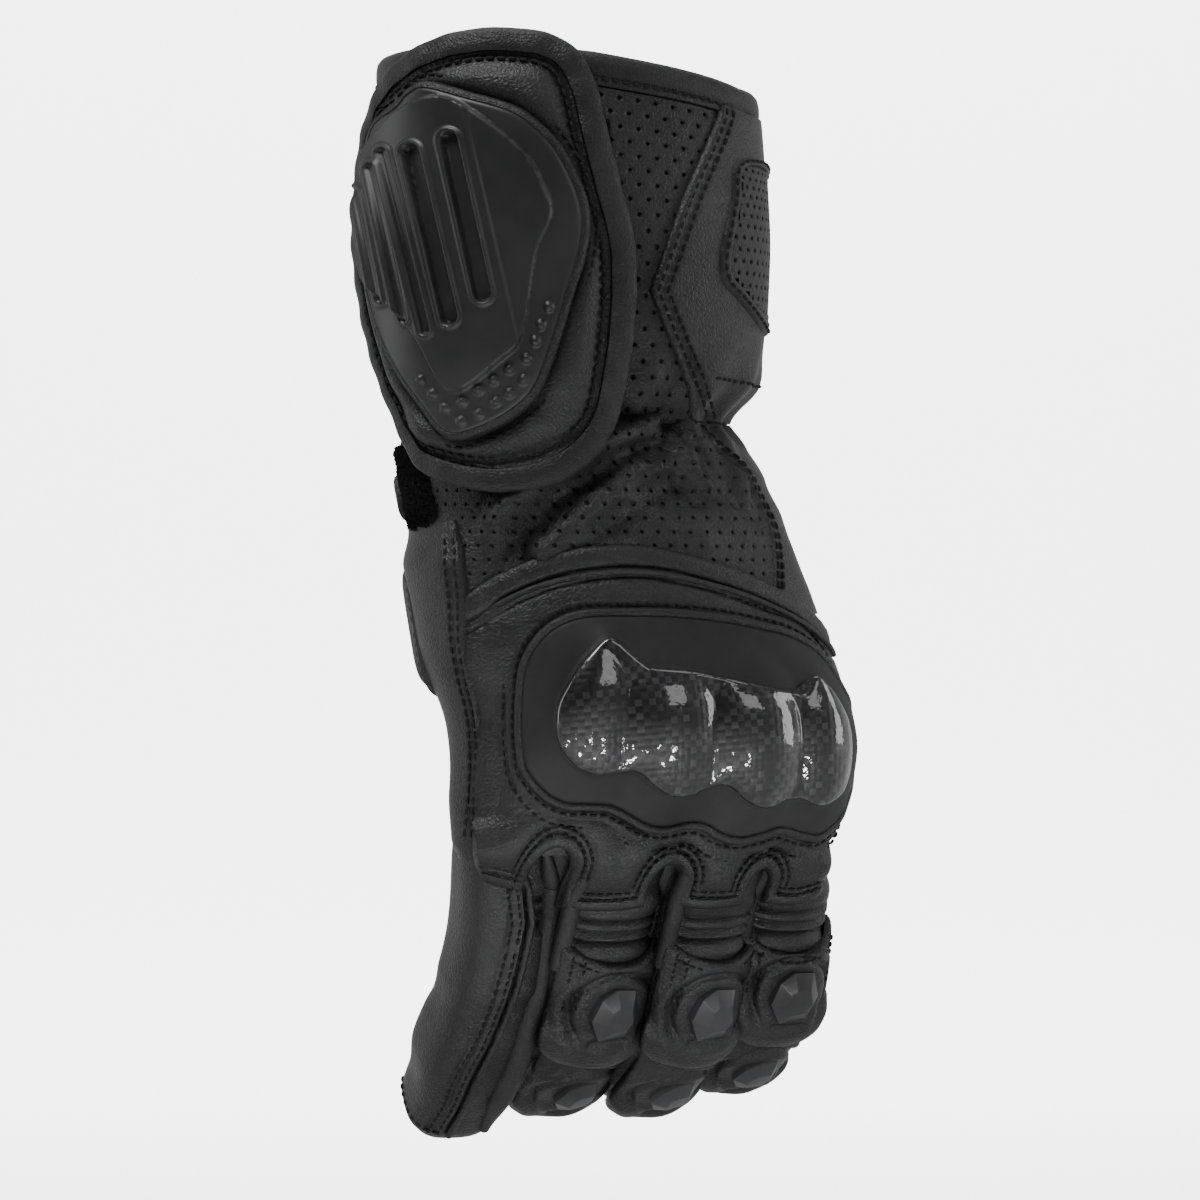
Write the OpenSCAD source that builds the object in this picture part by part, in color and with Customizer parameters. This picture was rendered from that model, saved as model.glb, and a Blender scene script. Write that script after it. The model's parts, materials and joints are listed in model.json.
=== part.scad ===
// Right-hand motorcycle gauntlet glove, pre-curved, as a jointed assembly of leather panels, armour and closures.
// Frame: origin at the centre of the gauntlet mouth, +Z up the forearm, -Z towards the fingers,
// -Y out of the back of the hand, +Y out of the palm, +X towards the thumb.

/* [Gauntlet] */
// Length from the mouth to the start of the wrist gather
cuff_l = 84; // [80:1:90]
// Outside width at the mouth
mouth_w = 90; // [86:1:94]
// Outside width at the widest point
cuff_w = 97; // [94:1:102]
// Outside depth at the widest point, palm to back
cuff_d = 75; // [70:1:80]

/* [Hand] */
// Height of the gathered stretch at the wrist
wrist_gap = 16; // [16:1:20]
// Outside width at the wrist
wrist_w = 88; // [84:1:92]
// Outside depth at the wrist
wrist_d = 54; // [52:1:58]
// Outside width across the knuckles
knuckle_w = 102; // [100:1:104]
// Outside depth at the finger roots
knuckle_d = 35; // [34:1:38]
// How far the knuckles lean towards the thumb side
lean = 18; // [16:1:18]
// Length of the hand section, from the wrist gather to the finger roots
hand_l = 92; // [90:1:92]

/* [Layers] */
// Leather thickness
wall = 1.8; // [1.4:0.1:2.0]
// Lining thickness
lining_t = 1; // [0.6:0.1:1.2]
// Space between neighbouring layers
gap = 0.3; // [0.25:0.05:0.35]

/* [Fingers] */
// Depth of a finger, palm to back
finger_d = 23; // [22:0.5:23]
// Length of the open stretch each side of a knuckle axis
knuckle_clear = 4.2; // [4:0.1:4.6]
// Length of the open stretch each side of a middle finger joint
bend_clear = 3.6; // [3.4:0.1:4]

/* [Closures] */
// Height of the gauntlet flap
flap_h = 116; // [110:1:116]
// Width of the wrist strap
strap_w = 12; // [10:0.5:12]

/* [Hidden] */

LEATHER = [0.045, 0.045, 0.047];
SOFT = [0.07, 0.07, 0.072];
RUBBER = [0.09, 0.09, 0.092];
CARBON = [0.03, 0.03, 0.032];
FUZZ = [0.02, 0.02, 0.02];
LINING = [0.12, 0.12, 0.125];

SQUARENESS = 2.3;     // exponent of the oval sections: 2 is an ellipse
STEP = 10;            // degrees between the points of a section
LAYER = gap + 1.2;    // outside of a thin layer sewn on the leather

// Stations of the two tubes, from top to bottom: [z, centre x, centre y, half width, half depth]
CUFF = [
    [10, 0, 0, mouth_w / 2 - 2, cuff_d / 2 - 2.5],
    [0, 0, 0, mouth_w / 2, cuff_d / 2 - 1.5],
    [-0.24 * cuff_l, 0.3, 0, cuff_w / 2 - 1.5, cuff_d / 2],
    [-0.54 * cuff_l, 0.5, 0, cuff_w / 2, cuff_d / 2 - 0.5],
    [-0.79 * cuff_l, 0.8, 0, cuff_w / 2 - 1, cuff_d / 2 - 3],
    [-cuff_l, 1.5, -0.5, cuff_w / 2 - 3, cuff_d / 2 - 7],
    [-cuff_l - 24, 4, -2, wrist_w / 2 + 1, wrist_d / 2 + 3.5]
];
wrist_z = -cuff_l - wrist_gap / 2;
hand_top = -cuff_l - wrist_gap;
hand_end = hand_top - hand_l;
HAND = [
    [wrist_z, 2, -1, wrist_w / 2 - 0.5, wrist_d / 2 + 1],
    [hand_top - 1, 3.5, -1.5, wrist_w / 2, wrist_d / 2],
    [hand_top - 0.22 * hand_l, lean / 2, -4, wrist_w / 2 + 2.5, wrist_d / 2 - 1],
    [hand_top - 0.38 * hand_l, lean * 0.75, -7, knuckle_w / 2 - 3, wrist_d / 2 - 2],
    [hand_top - 0.59 * hand_l, lean - 1, -9, knuckle_w / 2 - 1.5, wrist_d / 2 - 4],
    [hand_top - 0.78 * hand_l, lean, -9, knuckle_w / 2 - 0.5, knuckle_d / 2 + 3],
    [hand_end, lean, -6.5, knuckle_w / 2, knuckle_d / 2]
];

// Fingers: [name, x, y, z of the knuckle axis, width, [phalanx lengths], [tilts from straight down], turn]
// The tilts lean towards the palm; turn is how far the armour on the back is turned towards the thumb side
FINGERS = [
    ["little", lean - 36.5, 1, hand_end - 6.5, 27, [40, 24, 22], [24, 34, 48], -10],
    ["ring", lean - 8.5, -5, hand_end - 11, 26, [45, 30, 24], [33, 62, 92], 3],
    ["middle", lean + 17.6, -7, hand_end - 11, 24.4, [46, 31, 25], [33, 62, 92], 7],
    ["index", lean + 42.4, -4, hand_end - 10, 23.6, [42, 29, 24], [33, 62, 92], 11]
];

// Thumb: root on the palm's thumb side, direction, and turning axis; it bends across the palm
THUMB_ROOT = [lean + 32, 5, hand_top - 36];
THUMB_DIR = unit([0.3, 0.7, -0.65]);
THUMB_AXIS = unit([0, 0.65, 0.7]);
THUMB_W = 26;
THUMB_L = [25, 31, 29]; // socket, base and tip

flap_mid_z = 9 - flap_h / 2;

// ---------- shape functions ----------
function unit(v) = v / norm(v);
function bulge(v) = sign(v) * pow(abs(v), 2 / SQUARENESS);
function at(stations, z, k) = lookup(z, [for (s = stations) [s[0], s[k]]]);
function on_tube(stations, z, a, off) = [
    at(stations, z, 1) + (at(stations, z, 3) + off) * bulge(cos(a)),
    at(stations, z, 2) - (at(stations, z, 4) + off) * bulge(sin(a)),
    z
];
function on_oval(w, d, z, a) = [w / 2 * bulge(cos(a)), -d / 2 * bulge(sin(a)), z];
// levels where a tube changes direction, between two ends
function levels(stations, z0, z1) = concat([z0],
    [for (s = stations) if (s[0] < z0 - 1 && s[0] > z1 + 1) s[0]], [z1]);

function tri(a, b, c, flip) = flip ? [a, c, b] : [a, b, c];
function quad(a, b, c, d, flip) = [tri(a, b, c, flip), tri(a, c, d, flip)];
function grid_faces(n, m, base, wrap, flip) = [
    for (i = [0 : n - 2], j = [0 : (wrap ? m - 1 : m - 2)])
        let (p = base + i * m + j, q = base + i * m + (j + 1) % m) each quad(p, q, q + m, p + m, flip)
];
function strip_faces(a, b, flip) = [for (k = [0 : len(a) - 2]) each quad(a[k], a[k + 1], b[k + 1], b[k], flip)];
function flat(rows) = [for (r = rows) each r];

// A closed tube wall between two stacks of rings that run downwards.
// With capped = true the lower end is closed by both stacks' last rings.
module tube_wall(outer, inner, capped = false) {
    n = len(outer);
    m = len(outer[0]);
    k = len(inner);
    base = n * m;
    top_a = [for (j = [0 : m]) j % m];
    top_b = [for (j = [0 : m]) base + j % m];
    end_a = [for (j = [0 : m]) (n - 1) * m + j % m];
    end_b = [for (j = [0 : m]) base + (k - 1) * m + j % m];
    ends = capped
        ? concat([for (j = [1 : m - 2]) tri(end_a[0], end_a[j], end_a[j + 1], true)],
            [for (j = [1 : m - 2]) tri(end_b[0], end_b[j], end_b[j + 1], false)])
        : strip_faces(end_a, end_b, true);
    polyhedron(concat(flat(outer), flat(inner)), concat(
        grid_faces(n, m, 0, true, true),
        grid_faces(k, m, base, true, false),
        strip_faces(top_a, top_b, false),
        ends));
}

// A closed sheet between two equal grids of points: rows run downwards, columns from the thumb side round the back.
module sheet(outer, inner) {
    n = len(outer);
    m = len(outer[0]);
    b = n * m;
    polyhedron(concat(flat(outer), flat(inner)), concat(
        grid_faces(n, m, 0, false, true),
        grid_faces(n, m, b, false, false),
        strip_faces([for (j = [0 : m - 1]) j], [for (j = [0 : m - 1]) b + j], false),
        strip_faces([for (j = [0 : m - 1]) (n - 1) * m + j], [for (j = [0 : m - 1]) b + (n - 1) * m + j], true),
        strip_faces([for (i = [0 : n - 1]) i * m], [for (i = [0 : n - 1]) b + i * m], true),
        strip_faces([for (i = [0 : n - 1]) i * m + m - 1], [for (i = [0 : n - 1]) b + i * m + m - 1], false)));
}

// A whole tube layer between two offsets from a tube's outside.
module layer(stations, z0, z1, off0, off1) {
    zs = levels(stations, z0, z1);
    angles = [for (a = [0 : STEP : 359]) a];
    tube_wall([for (z = zs) [for (a = angles) on_tube(stations, z, a, off1)]],
        [for (z = zs) [for (a = angles) on_tube(stations, z, a, off0)]]);
}

// Part of a tube layer, between two angles. A hair is left open at each side edge for the seam.
// An edge may also be a line of [z, angle] pairs, and the top may be an arch that drops towards both sides.
HAIR = 0.15;
function edge(a, z) = is_num(a) ? a : lookup(z, a);
function panel_points(stations, zs, a0, a1, off, arch, n) = [
    for (i = [0 : len(zs) - 1]) let (z = zs[i], b0 = edge(a0, z) + HAIR, b1 = edge(a1, z) - HAIR)
        [for (k = [0 : n]) let (s = k / n, drop = arch * pow(2 * s - 1, 2) * (1 - i / (len(zs) - 1)))
            on_tube(stations, z - drop, b0 + (b1 - b0) * s, off)]
];
module panel(stations, z0, z1, a0, a1, off0, off1, arch = 0) {
    bends = is_num(a0) ? [] : [for (p = a0) if (p[0] < z0 - 1 && p[0] > z1 + 1) p];
    more = is_num(a1) ? [] : [for (p = a1) if (p[0] < z0 - 1 && p[0] > z1 + 1) p];
    zs = levels(len(bends) + len(more) == 0 ? stations : merge(stations, concat(bends, more)), z0, z1);
    n = round((edge(a1, z0) - edge(a0, z0)) / STEP);
    sheet(panel_points(stations, zs, a0, a1, off1, arch, n), panel_points(stations, zs, a0, a1, off0, arch, n));
}
// the rows of two lists whose first entries fall, in order, without near repeats
function merge(a, b) = len(b) == 0 ? a : merge(insert(a, b[0]), [for (i = [1 : 1 : len(b) - 1]) b[i]]);
function insert(a, p) = min([for (q = a) abs(q[0] - p[0])]) < 2 ? a
    : concat([for (q = a) if (q[0] > p[0]) q], [p], [for (q = a) if (q[0] < p[0]) q]);

// A rounded leaf on a tube: its half width runs from wide to nothing along a superellipse of exponent p.
// right and left are its half widths, in degrees, towards the thumb side and the outer side.
function leaf_width(v, p) = pow(1 - pow(abs(v), p), 1 / p);
function leaf_points(stations, z_mid, h, a_mid, right, left, p, n, m, off) = [
    for (i = [0 : n]) let (v = -0.985 * cos(180 * i / n), w = leaf_width(v, p))
        [for (j = [0 : m]) let (s = j / m, a = a_mid - right * w * (1 - s) + left * w * s)
            on_tube(stations, z_mid - v * h / 2, a, off)]
];
module leaf(stations, z_mid, h, a_mid, right, left, p, off0, off1, n = 10, m = 10) {
    sheet(leaf_points(stations, z_mid, h, a_mid, right, left, p, n, m, off1),
        leaf_points(stations, z_mid, h, a_mid, right, left, p, n, m, off0));
}

// ---------- gauntlet ----------
SIDE_SEAM = [[-cuff_l, 58], [-0.63 * cuff_l, 80], [-0.1 * cuff_l, 57], [0, 57]];
module gauntlet_back() color(LEATHER) panel(CUFF, 0, -cuff_l, SIDE_SEAM, 200, -wall, 0);
module gauntlet_thumb_side() color(LEATHER) panel(CUFF, 0, -cuff_l, -30, SIDE_SEAM, -wall, 0);
module gauntlet_vent() color(SOFT) leaf(CUFF, -0.53 * cuff_l, 48, 22, 17, 17, 2.2, gap, gap + 1, 8, 4);
module gauntlet_palm() color(LEATHER) panel(CUFF, 0, -cuff_l, 200, 330, -wall, 0);
module mouth_binding() color(SOFT) layer(CUFF, 0, -7, gap, gap + 1.2);
module gauntlet_lining() color(LINING) layer(CUFF, -1, -cuff_l + 2, -wall - gap - 0.5 - lining_t, -wall - gap - 0.5);
module flap_loop_patch() color(FUZZ) panel(CUFF, -16, -76, 90, 150, gap, LAYER);
module flap_anchor() color(LEATHER) panel(CUFF, -12, -72, 184, 214, gap, gap + wall);

// ---------- flap: wraps the outer edge of the gauntlet and closes over its back ----------
module flap_layer(inset, off0, off1, n = 12, m = 12)
    leaf(CUFF, flap_mid_z, flap_h - 2 * inset, 130, 46 - 1.2 * inset, 66 - 1.2 * inset, 2.4, off0, off1, n, m);
module flap_leather() color(LEATHER) flap_layer(4, LAYER + gap + 2, LAYER + gap + 4.4);
module flap_hook_patch() color(FUZZ) leaf(CUFF, -46, 56, 120, 28, 28, 4, LAYER + gap + 0.2, LAYER + 1.9, 6, 6);
// The bound edge is a cord round the flap's outline
module flap_binding() color(SOFT) {
    count = 40;
    points = [for (k = [0 : count - 1]) let (t = 360 * k / count,
        p = 2 / 2.4, v = -sign(cos(t)) * pow(abs(cos(t)), p), s = sign(sin(t)) * pow(abs(sin(t)), p),
        side = s < 0 ? 46 : 66)
        [flap_mid_z - v * flap_h / 2, flap_mid_z - v * (flap_h / 2 - 3.6), 130 + s * side, 130 + s * (side - 4.4)]];
    low = LAYER + gap + 1.6;
    high = LAYER + gap + 5.2;
    rings = [for (q = points) [on_tube(CUFF, q[0], q[2], high), on_tube(CUFF, q[0], q[2], low),
        on_tube(CUFF, q[1], q[3], low), on_tube(CUFF, q[1], q[3], high)]];
    polyhedron(flat(concat(rings, [rings[0]])), [
        for (i = [0 : count - 1], j = [0 : 3])
            let (q = (i + 1) % count) each quad(i * 4 + j, i * 4 + (j + 1) % 4, q * 4 + (j + 1) % 4, q * 4 + j, true)
    ]);
}
module flap_shield() color(RUBBER)
    leaf(CUFF, -50, 86, 138, 36, 44, 2.2, LAYER + 4.7 + 2 * gap, LAYER + 8, 10, 10);

// ---------- wrist ----------
module wrist_gather() color(SOFT) layer([[-cuff_l + 1, 1.5, -0.5, cuff_w / 2 - 3.4, cuff_d / 2 - 7.4], HAND[0],
    [hand_top - 1, 3.3, -1.4, wrist_w / 2 - 0.4, wrist_d / 2 - 0.4]],
    -cuff_l - 0.5, hand_top + 0.5, -1.4, 0);

// ---------- hand ----------
module hand_back() color(LEATHER) panel(HAND, hand_top, hand_end, 10, 170, -wall, 0);
module ulnar_side_panel() color(LEATHER) panel(HAND, hand_top, hand_end, 170, 210, -wall, 0);
module palm_leather() color(LEATHER) difference() {
    panel(HAND, hand_top, hand_end, 210, 370, -wall, 0);
    thumb_frame(0) translate([0, 0, -20]) cylinder(r = THUMB_W / 2 - 3, h = 30, $fn = 32);
}
module hand_lining() color(LINING) difference() {
    layer(HAND, hand_top - 1, hand_end + 1, -wall - gap - lining_t, -wall - gap);
    thumb_frame(0) translate([0, 0, -20]) cylinder(r = THUMB_W / 2 - 3, h = 30, $fn = 32);
}
module wrist_cover() color(LEATHER) panel(HAND, hand_top, hand_top - 19, 20, 160, gap, LAYER);
module back_yoke() color(LEATHER) panel(HAND, hand_top - 20.5, hand_end, 20, 160, gap + 0.45, LAYER, arch = 12);
module guard_base() color(RUBBER)
    leaf(HAND, hand_end + 27, 52, 83, 56, 57, 3, LAYER + gap, LAYER + 3, 10, 14);
module guard_foam() color(LINING)
    leaf(HAND, hand_end + 25, 30, 76, 40, 40, 3, LAYER + 3 + gap, LAYER + 5.8, 6, 12);
// The hard shell bridges the foam and carries one dome for each knuckle
KNUCKLES = [38, 65, 89, 112]; // angles of the domes' tops
function dome(a, v) = max([for (k = KNUCKLES) max(0, 1 - pow((a - k) / 15, 2))]) * max(0, 1 - pow(v, 2));
module guard_shell() color(CARBON) {
    n = 8;
    m = 30;
    rows = [for (i = [0 : n]) let (v = -0.96 * cos(180 * i / n), w = leaf_width(v, 3))
        [for (j = [0 : m]) let (a = 76 - 49 * w + 98 * w * j / m,
            rim = min(1, 2.2 * (1 - abs(v))) * min(1, 6 * j / m, 6 * (1 - j / m)))
            [hand_end + 25 - v * 20, a, rim, dome(a, v)]]];
    sheet([for (r = rows) [for (q = r) on_tube(HAND, q[0], q[1], LAYER + 4.6 + 3.4 * q[2] + 3.4 * q[3])]],
        [for (r = rows) [for (q = r) on_tube(HAND, q[0], q[1], LAYER + 3 + gap + 3.4 * q[2] + 3.2 * q[3])]]);
}
module palm_patch() color(LEATHER) panel(HAND, hand_top - 52, hand_end + 6, 220, 292, gap, LAYER);

module hand_solid(off) {
    angles = [for (a = [0 : STEP : 359]) a];
    rings = [for (s = HAND) [for (a = angles) on_tube(HAND, s[0], a, off)]];
    m = len(angles);
    n = len(rings);
    polyhedron(flat(rings), concat(grid_faces(n, m, 0, true, true),
        [for (j = [1 : m - 2]) [0, j, j + 1]],
        [for (j = [1 : m - 2]) [(n - 1) * m, (n - 1) * m + j + 1, (n - 1) * m + j]]));
}

// The slider puck on the outer heel of the palm, with a flat face to slide on
SLIDER_N = unit([-0.6, 0.8, -0.2]);
SLIDER_POS = [lean - 45.5, 8.6, hand_top - 40];
slider_x = unit(cross([0, 0, 1], SLIDER_N));
slider_y = cross(SLIDER_N, slider_x);
module palm_slider() color(RUBBER) {
    w = 25;
    h = 32;
    c = 6;
    outline = [[-w / 2 + c, -h / 2], [w / 2 - c, -h / 2], [w / 2, -h / 2 + c], [w / 2, h / 2 - c],
        [w / 2 - c, h / 2], [-w / 2 + c, h / 2], [-w / 2, h / 2 - c], [-w / 2, -h / 2 + c]];
    multmatrix([for (i = [0 : 2]) [slider_x[i], slider_y[i], SLIDER_N[i], SLIDER_POS[i]]])
        linear_extrude(5) polygon(outline);
}

// ---------- wrist strap ----------
strap_z = hand_top - 3 - strap_w / 2;
module strap_loop_patch() color(FUZZ) panel(HAND, hand_top - 1, hand_top - 19, 170, 230, gap, LAYER);
module wrist_strap() color(LEATHER)
    panel(HAND, strap_z + strap_w / 2, strap_z - strap_w / 2, 200, 320, LAYER + 1.4 + gap, LAYER + 1.4 + gap + 2);
module strap_hook_patch() color(FUZZ)
    panel(HAND, strap_z + strap_w / 2 - 1, strap_z - strap_w / 2 + 1, 204, 226, LAYER + gap, LAYER + 1.4);

// ---------- fingers ----------
function finger(name) = [for (f = FINGERS) if (f[0] == name) f][0];
function down(tilt) = [0, sin(tilt), -cos(tilt)];
function joint_at(f, k) = k == 0 ? [f[1], f[2], f[3]] : joint_at(f, k - 1) + f[5][k - 1] * down(f[6][k - 1]);
// Places the children at phalanx k of a finger, with -Z along it and -Y out of its back
module phalanx(f, k) translate(joint_at(f, k)) rotate([f[6][k], 0, 0]) children();
// cut slants the ring away on the palm side: positive lowers it there, negative raises it
CUT = 0.28;
function ring(w, d, z, cut = 0) = [for (a = [0 : 22.5 : 359])
    let (p = on_oval(w, d, z, a)) p - [0, 0, cut * max(0, p.y)]];
module stall(w, d, z0, z1, cut0 = 0, cut1 = 0) let (in_w = w - 2 * wall, in_d = d - 2 * wall)
    tube_wall([ring(w, d, z0, cut0), ring(w, d, z1, cut1)], [ring(in_w, in_d, z0, cut0), ring(in_w, in_d, z1, cut1)]);
function turned(p, tilt) = [p.x, p.y * cos(tilt) - p.z * sin(tilt), p.y * sin(tilt) + p.z * cos(tilt)];
function placed(pts, origin, tilt) = [for (p = pts) origin + turned(p, tilt)];
function mix(a, b, t) = [for (j = [0 : len(a) - 1]) a[j] * (1 - t) + b[j] * t];
RIBS = 6;
// A ribbed bellows between two ends, each a list of rings at the four insets
module bellows(top_ring, low_ring) {
    tube_wall([for (k = [0 : RIBS]) mix(top_ring[k % 2], low_ring[k % 2], k / RIBS)],
        [for (k = [0 : RIBS]) mix(top_ring[2 + k % 2], low_ring[2 + k % 2], k / RIBS)]);
}
INSETS = [0, 2.4, 2.4, 4.8]; // taken off the full width: crest, trough, and the inside of both
function end_rings(f, k, w, d, z, cut = 0) = [for (i = INSETS)
    placed(ring(w - i, d - i, z, cut), joint_at(f, k), f[6][k])];
TAPER = [1, 0.94, 0.86]; // size of each phalanx against the knuckle

module finger_base(name) color(LEATHER) let (f = finger(name))
    phalanx(f, 0) stall(f[4], finger_d, -knuckle_clear, -f[5][0] + bend_clear, 0, -CUT);
module finger_middle(name) color(LEATHER) let (f = finger(name))
    phalanx(f, 1) stall(f[4] * TAPER[1], finger_d * TAPER[1], -bend_clear, -f[5][1] + bend_clear, CUT, -CUT);
module finger_tip(name) color(LEATHER) let (f = finger(name), w = f[4] * TAPER[2], d = finger_d * TAPER[2], l = f[5][2])
    phalanx(f, 2) fingertip(w, d, l, CUT);
module fingertip(w, d, l, cut = 0) {
    round_l = 0.45 * l;
    outer = [for (s = [0, 0.5, 0.8, 0.95]) let (k = sqrt(1 - s * s)) ring(w * k, d * k, -l + round_l - s * round_l)];
    inner = [for (s = [0, 0.5, 0.8]) let (k = sqrt(1 - s * s))
        ring((w - 2 * wall) * k, (d - 2 * wall) * k, -l + round_l - s * (round_l - wall))];
    tube_wall(concat([ring(w, d, -bend_clear, cut)], outer),
        concat([ring(w - 2 * wall, d - 2 * wall, -bend_clear, cut)], inner), capped = true);
}
// The stretch bellows from the hand's open end to a finger
function mouth_d(x) = 2 * at(HAND, hand_end, 4)
    * pow(1 - pow(abs((x - lean) / at(HAND, hand_end, 3)), SQUARENESS), 1 / SQUARENESS);
function mouth_side(f, side) = f[1] + side * min(f[4] / 2 - 0.3, 50.4 + side * (lean - f[1]));
module knuckle_bellows(name) color(SOFT) let (f = finger(name), x0 = mouth_side(f, -1), x1 = mouth_side(f, 1),
    x = (x0 + x1) / 2, d = mouth_d(x) - 0.6)
    bellows([for (i = INSETS) [for (p = ring(x1 - x0 - i, d - i, hand_end - 0.6)) p + [x, HAND[6][2], 0]]],
        end_rings(f, 0, f[4] - 0.6, finger_d - 0.6, -knuckle_clear + 0.3));
// The two stretch gussets where a finger bends
module bend_gussets(name) color(SOFT) let (f = finger(name)) for (k = [1, 2]) let (
    w = f[4] * TAPER[k - 1] - 0.6, d = finger_d * TAPER[k - 1] - 0.6,
    low_w = f[4] * TAPER[k] - 0.6, low_d = finger_d * TAPER[k] - 0.6)
    bellows(end_rings(f, k - 1, w, d, -f[5][k - 1] + bend_clear - 0.3, -CUT),
        end_rings(f, k, low_w, low_d, -bend_clear + 0.3, CUT));
// The padded cap on the back of a finger's first phalanx, with a lip over the next
function cap_row(f, z, off) = [for (a = [37.5 : 15 : 143]) on_oval(f[4] + 2 * off, finger_d + 2 * off, z, a)];
module finger_cap(name) color(LEATHER) let (f = finger(name), zs = [-12, -f[5][0] - 1])
    phalanx(f, 0) rotate([0, 0, f[7]])
        sheet([for (z = zs) cap_row(f, z, LAYER + 0.6)], [for (z = zs) cap_row(f, z, gap)]);
// A six-sided armour stud
module stud(w, l, h) {
    hexagon = [[-w / 2, 0], [-w / 3.4, l / 2], [w / 3.4, l / 2], [w / 2, 0], [w / 3.4, -l / 2], [-w / 3.4, -l / 2]];
    linear_extrude(1.2) polygon(hexagon);
    translate([0, 0, 1.2]) linear_extrude(h - 1.2, scale = 0.55) polygon(hexagon * 0.94);
}
// Stands a stud on the back of a phalanx
module on_back(d, z) translate([0, -d / 2, z]) rotate([90, 0, 0]) children();
module finger_slider(name) color(RUBBER) let (f = finger(name))
    phalanx(f, 0) rotate([0, 0, f[7]]) on_back(finger_d + 2 * (LAYER + 0.6 + gap), -f[5][0] * 0.74) stud(15, 19, 4.6);
module joint_slider(name) color(RUBBER) let (f = finger(name))
    phalanx(f, 1) rotate([0, 0, f[7]]) on_back(finger_d * TAPER[1] + 2 * gap, -f[5][1] * 0.62) stud(14, 15, 4.2);

// ---------- thumb ----------
thumb_side = cross(THUMB_AXIS, THUMB_DIR);
// Places the children at thumb section k, with -Z along it and +X along its turning axis
module thumb_frame(k) multmatrix([for (i = [0 : 2])
    [THUMB_AXIS[i], thumb_side[i], -THUMB_DIR[i], thumb_point(k)[i]]]) children();
module thumb_socket() color(LEATHER) difference() {
    thumb_frame(0) stall(THUMB_W, 24, 14, -THUMB_L[0] + bend_clear);
    hand_solid(gap);
}
module thumb_base() color(LEATHER) thumb_frame(1) stall(THUMB_W, 24, -bend_clear, -THUMB_L[1] + bend_clear);
module thumb_tip() color(LEATHER) thumb_frame(2) fingertip(THUMB_W * 0.94, 22, THUMB_L[2]);
function thumb_point(k) = THUMB_ROOT + THUMB_DIR * (k == 0 ? 0 : k == 1 ? THUMB_L[0] : THUMB_L[0] + THUMB_L[1]);
function thumb_rings(k, w, d, z) = [for (i = INSETS) [for (p = ring(w - i, d - i, z))
    thumb_point(k) + THUMB_AXIS * p.x + thumb_side * p.y - THUMB_DIR * p.z]];
module thumb_gussets() color(SOFT) {
    bellows(thumb_rings(0, THUMB_W - 0.6, 23.4, -THUMB_L[0] + bend_clear - 0.3),
        thumb_rings(1, THUMB_W - 0.6, 23.4, -bend_clear + 0.3));
    bellows(thumb_rings(1, THUMB_W - 0.6, 23.4, -THUMB_L[1] + bend_clear - 0.3),
        thumb_rings(2, THUMB_W * 0.94 - 0.6, 21.4, -bend_clear + 0.3));
}

gauntlet_back();
gauntlet_thumb_side();
gauntlet_vent();
gauntlet_palm();
mouth_binding();
gauntlet_lining();
flap_loop_patch();
flap_anchor();
flap_leather();
flap_binding();
flap_shield();
flap_hook_patch();
wrist_gather();
hand_back();
ulnar_side_panel();
palm_leather();
wrist_cover();
back_yoke();
hand_lining();
guard_base();
guard_foam();
guard_shell();
palm_patch();
palm_slider();
strap_loop_patch();
wrist_strap();
strap_hook_patch();
for (f = FINGERS) {
    knuckle_bellows(f[0]);
    finger_base(f[0]);
    finger_middle(f[0]);
    finger_tip(f[0]);
    bend_gussets(f[0]);
    if (f[0] != "little") {
        finger_cap(f[0]);
        finger_slider(f[0]);
        joint_slider(f[0]);
    }
}
thumb_socket();
thumb_base();
thumb_tip();
thumb_gussets();
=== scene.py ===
import bpy, bmesh, json, math
import numpy as np
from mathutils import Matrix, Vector


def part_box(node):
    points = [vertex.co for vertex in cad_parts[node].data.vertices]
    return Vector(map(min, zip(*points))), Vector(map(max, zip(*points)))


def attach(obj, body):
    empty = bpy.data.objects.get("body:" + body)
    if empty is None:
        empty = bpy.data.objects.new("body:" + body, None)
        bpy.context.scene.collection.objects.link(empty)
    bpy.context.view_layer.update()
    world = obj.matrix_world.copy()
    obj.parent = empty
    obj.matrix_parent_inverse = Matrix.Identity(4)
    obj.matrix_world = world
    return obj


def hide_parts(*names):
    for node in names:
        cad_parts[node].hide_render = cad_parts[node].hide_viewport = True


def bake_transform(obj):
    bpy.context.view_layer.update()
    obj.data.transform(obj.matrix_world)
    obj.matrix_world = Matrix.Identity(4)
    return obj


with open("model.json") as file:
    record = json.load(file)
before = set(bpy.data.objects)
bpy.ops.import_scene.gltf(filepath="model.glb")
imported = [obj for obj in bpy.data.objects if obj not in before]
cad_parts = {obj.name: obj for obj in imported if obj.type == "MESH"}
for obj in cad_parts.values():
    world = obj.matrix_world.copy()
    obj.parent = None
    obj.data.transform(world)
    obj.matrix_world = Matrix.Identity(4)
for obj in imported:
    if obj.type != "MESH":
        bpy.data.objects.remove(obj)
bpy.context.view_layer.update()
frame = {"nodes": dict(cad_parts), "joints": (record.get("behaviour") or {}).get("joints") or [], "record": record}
# ---- helpers (all lengths in mm, z up)
# Most surfaces are functions of (P, off): P is (girth, height) or (across, along), off the height over them.
MM = 0.001
K = 0.8            # mm of a section's girth per degree
def A(*p): return np.array(p, float)
def xyz(*parts):
    """Points from their coordinates, each a number or an array."""
    return np.stack(np.broadcast_arrays(*parts), -1)
def unit(v): return v / np.maximum(np.linalg.norm(v, axis=-1, keepdims=True), 1e-9)
def step(x, a, b):
    """0 at a, 1 at b, smooth between; a may be the larger."""
    t = np.clip((x - a) / (b - a), 0, 1)
    return t * t * (3 - 2 * t)
def hump(x, mid, half): return np.clip(1 - ((x - mid) / half) ** 2, 0, 1) ** 1.5
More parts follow.
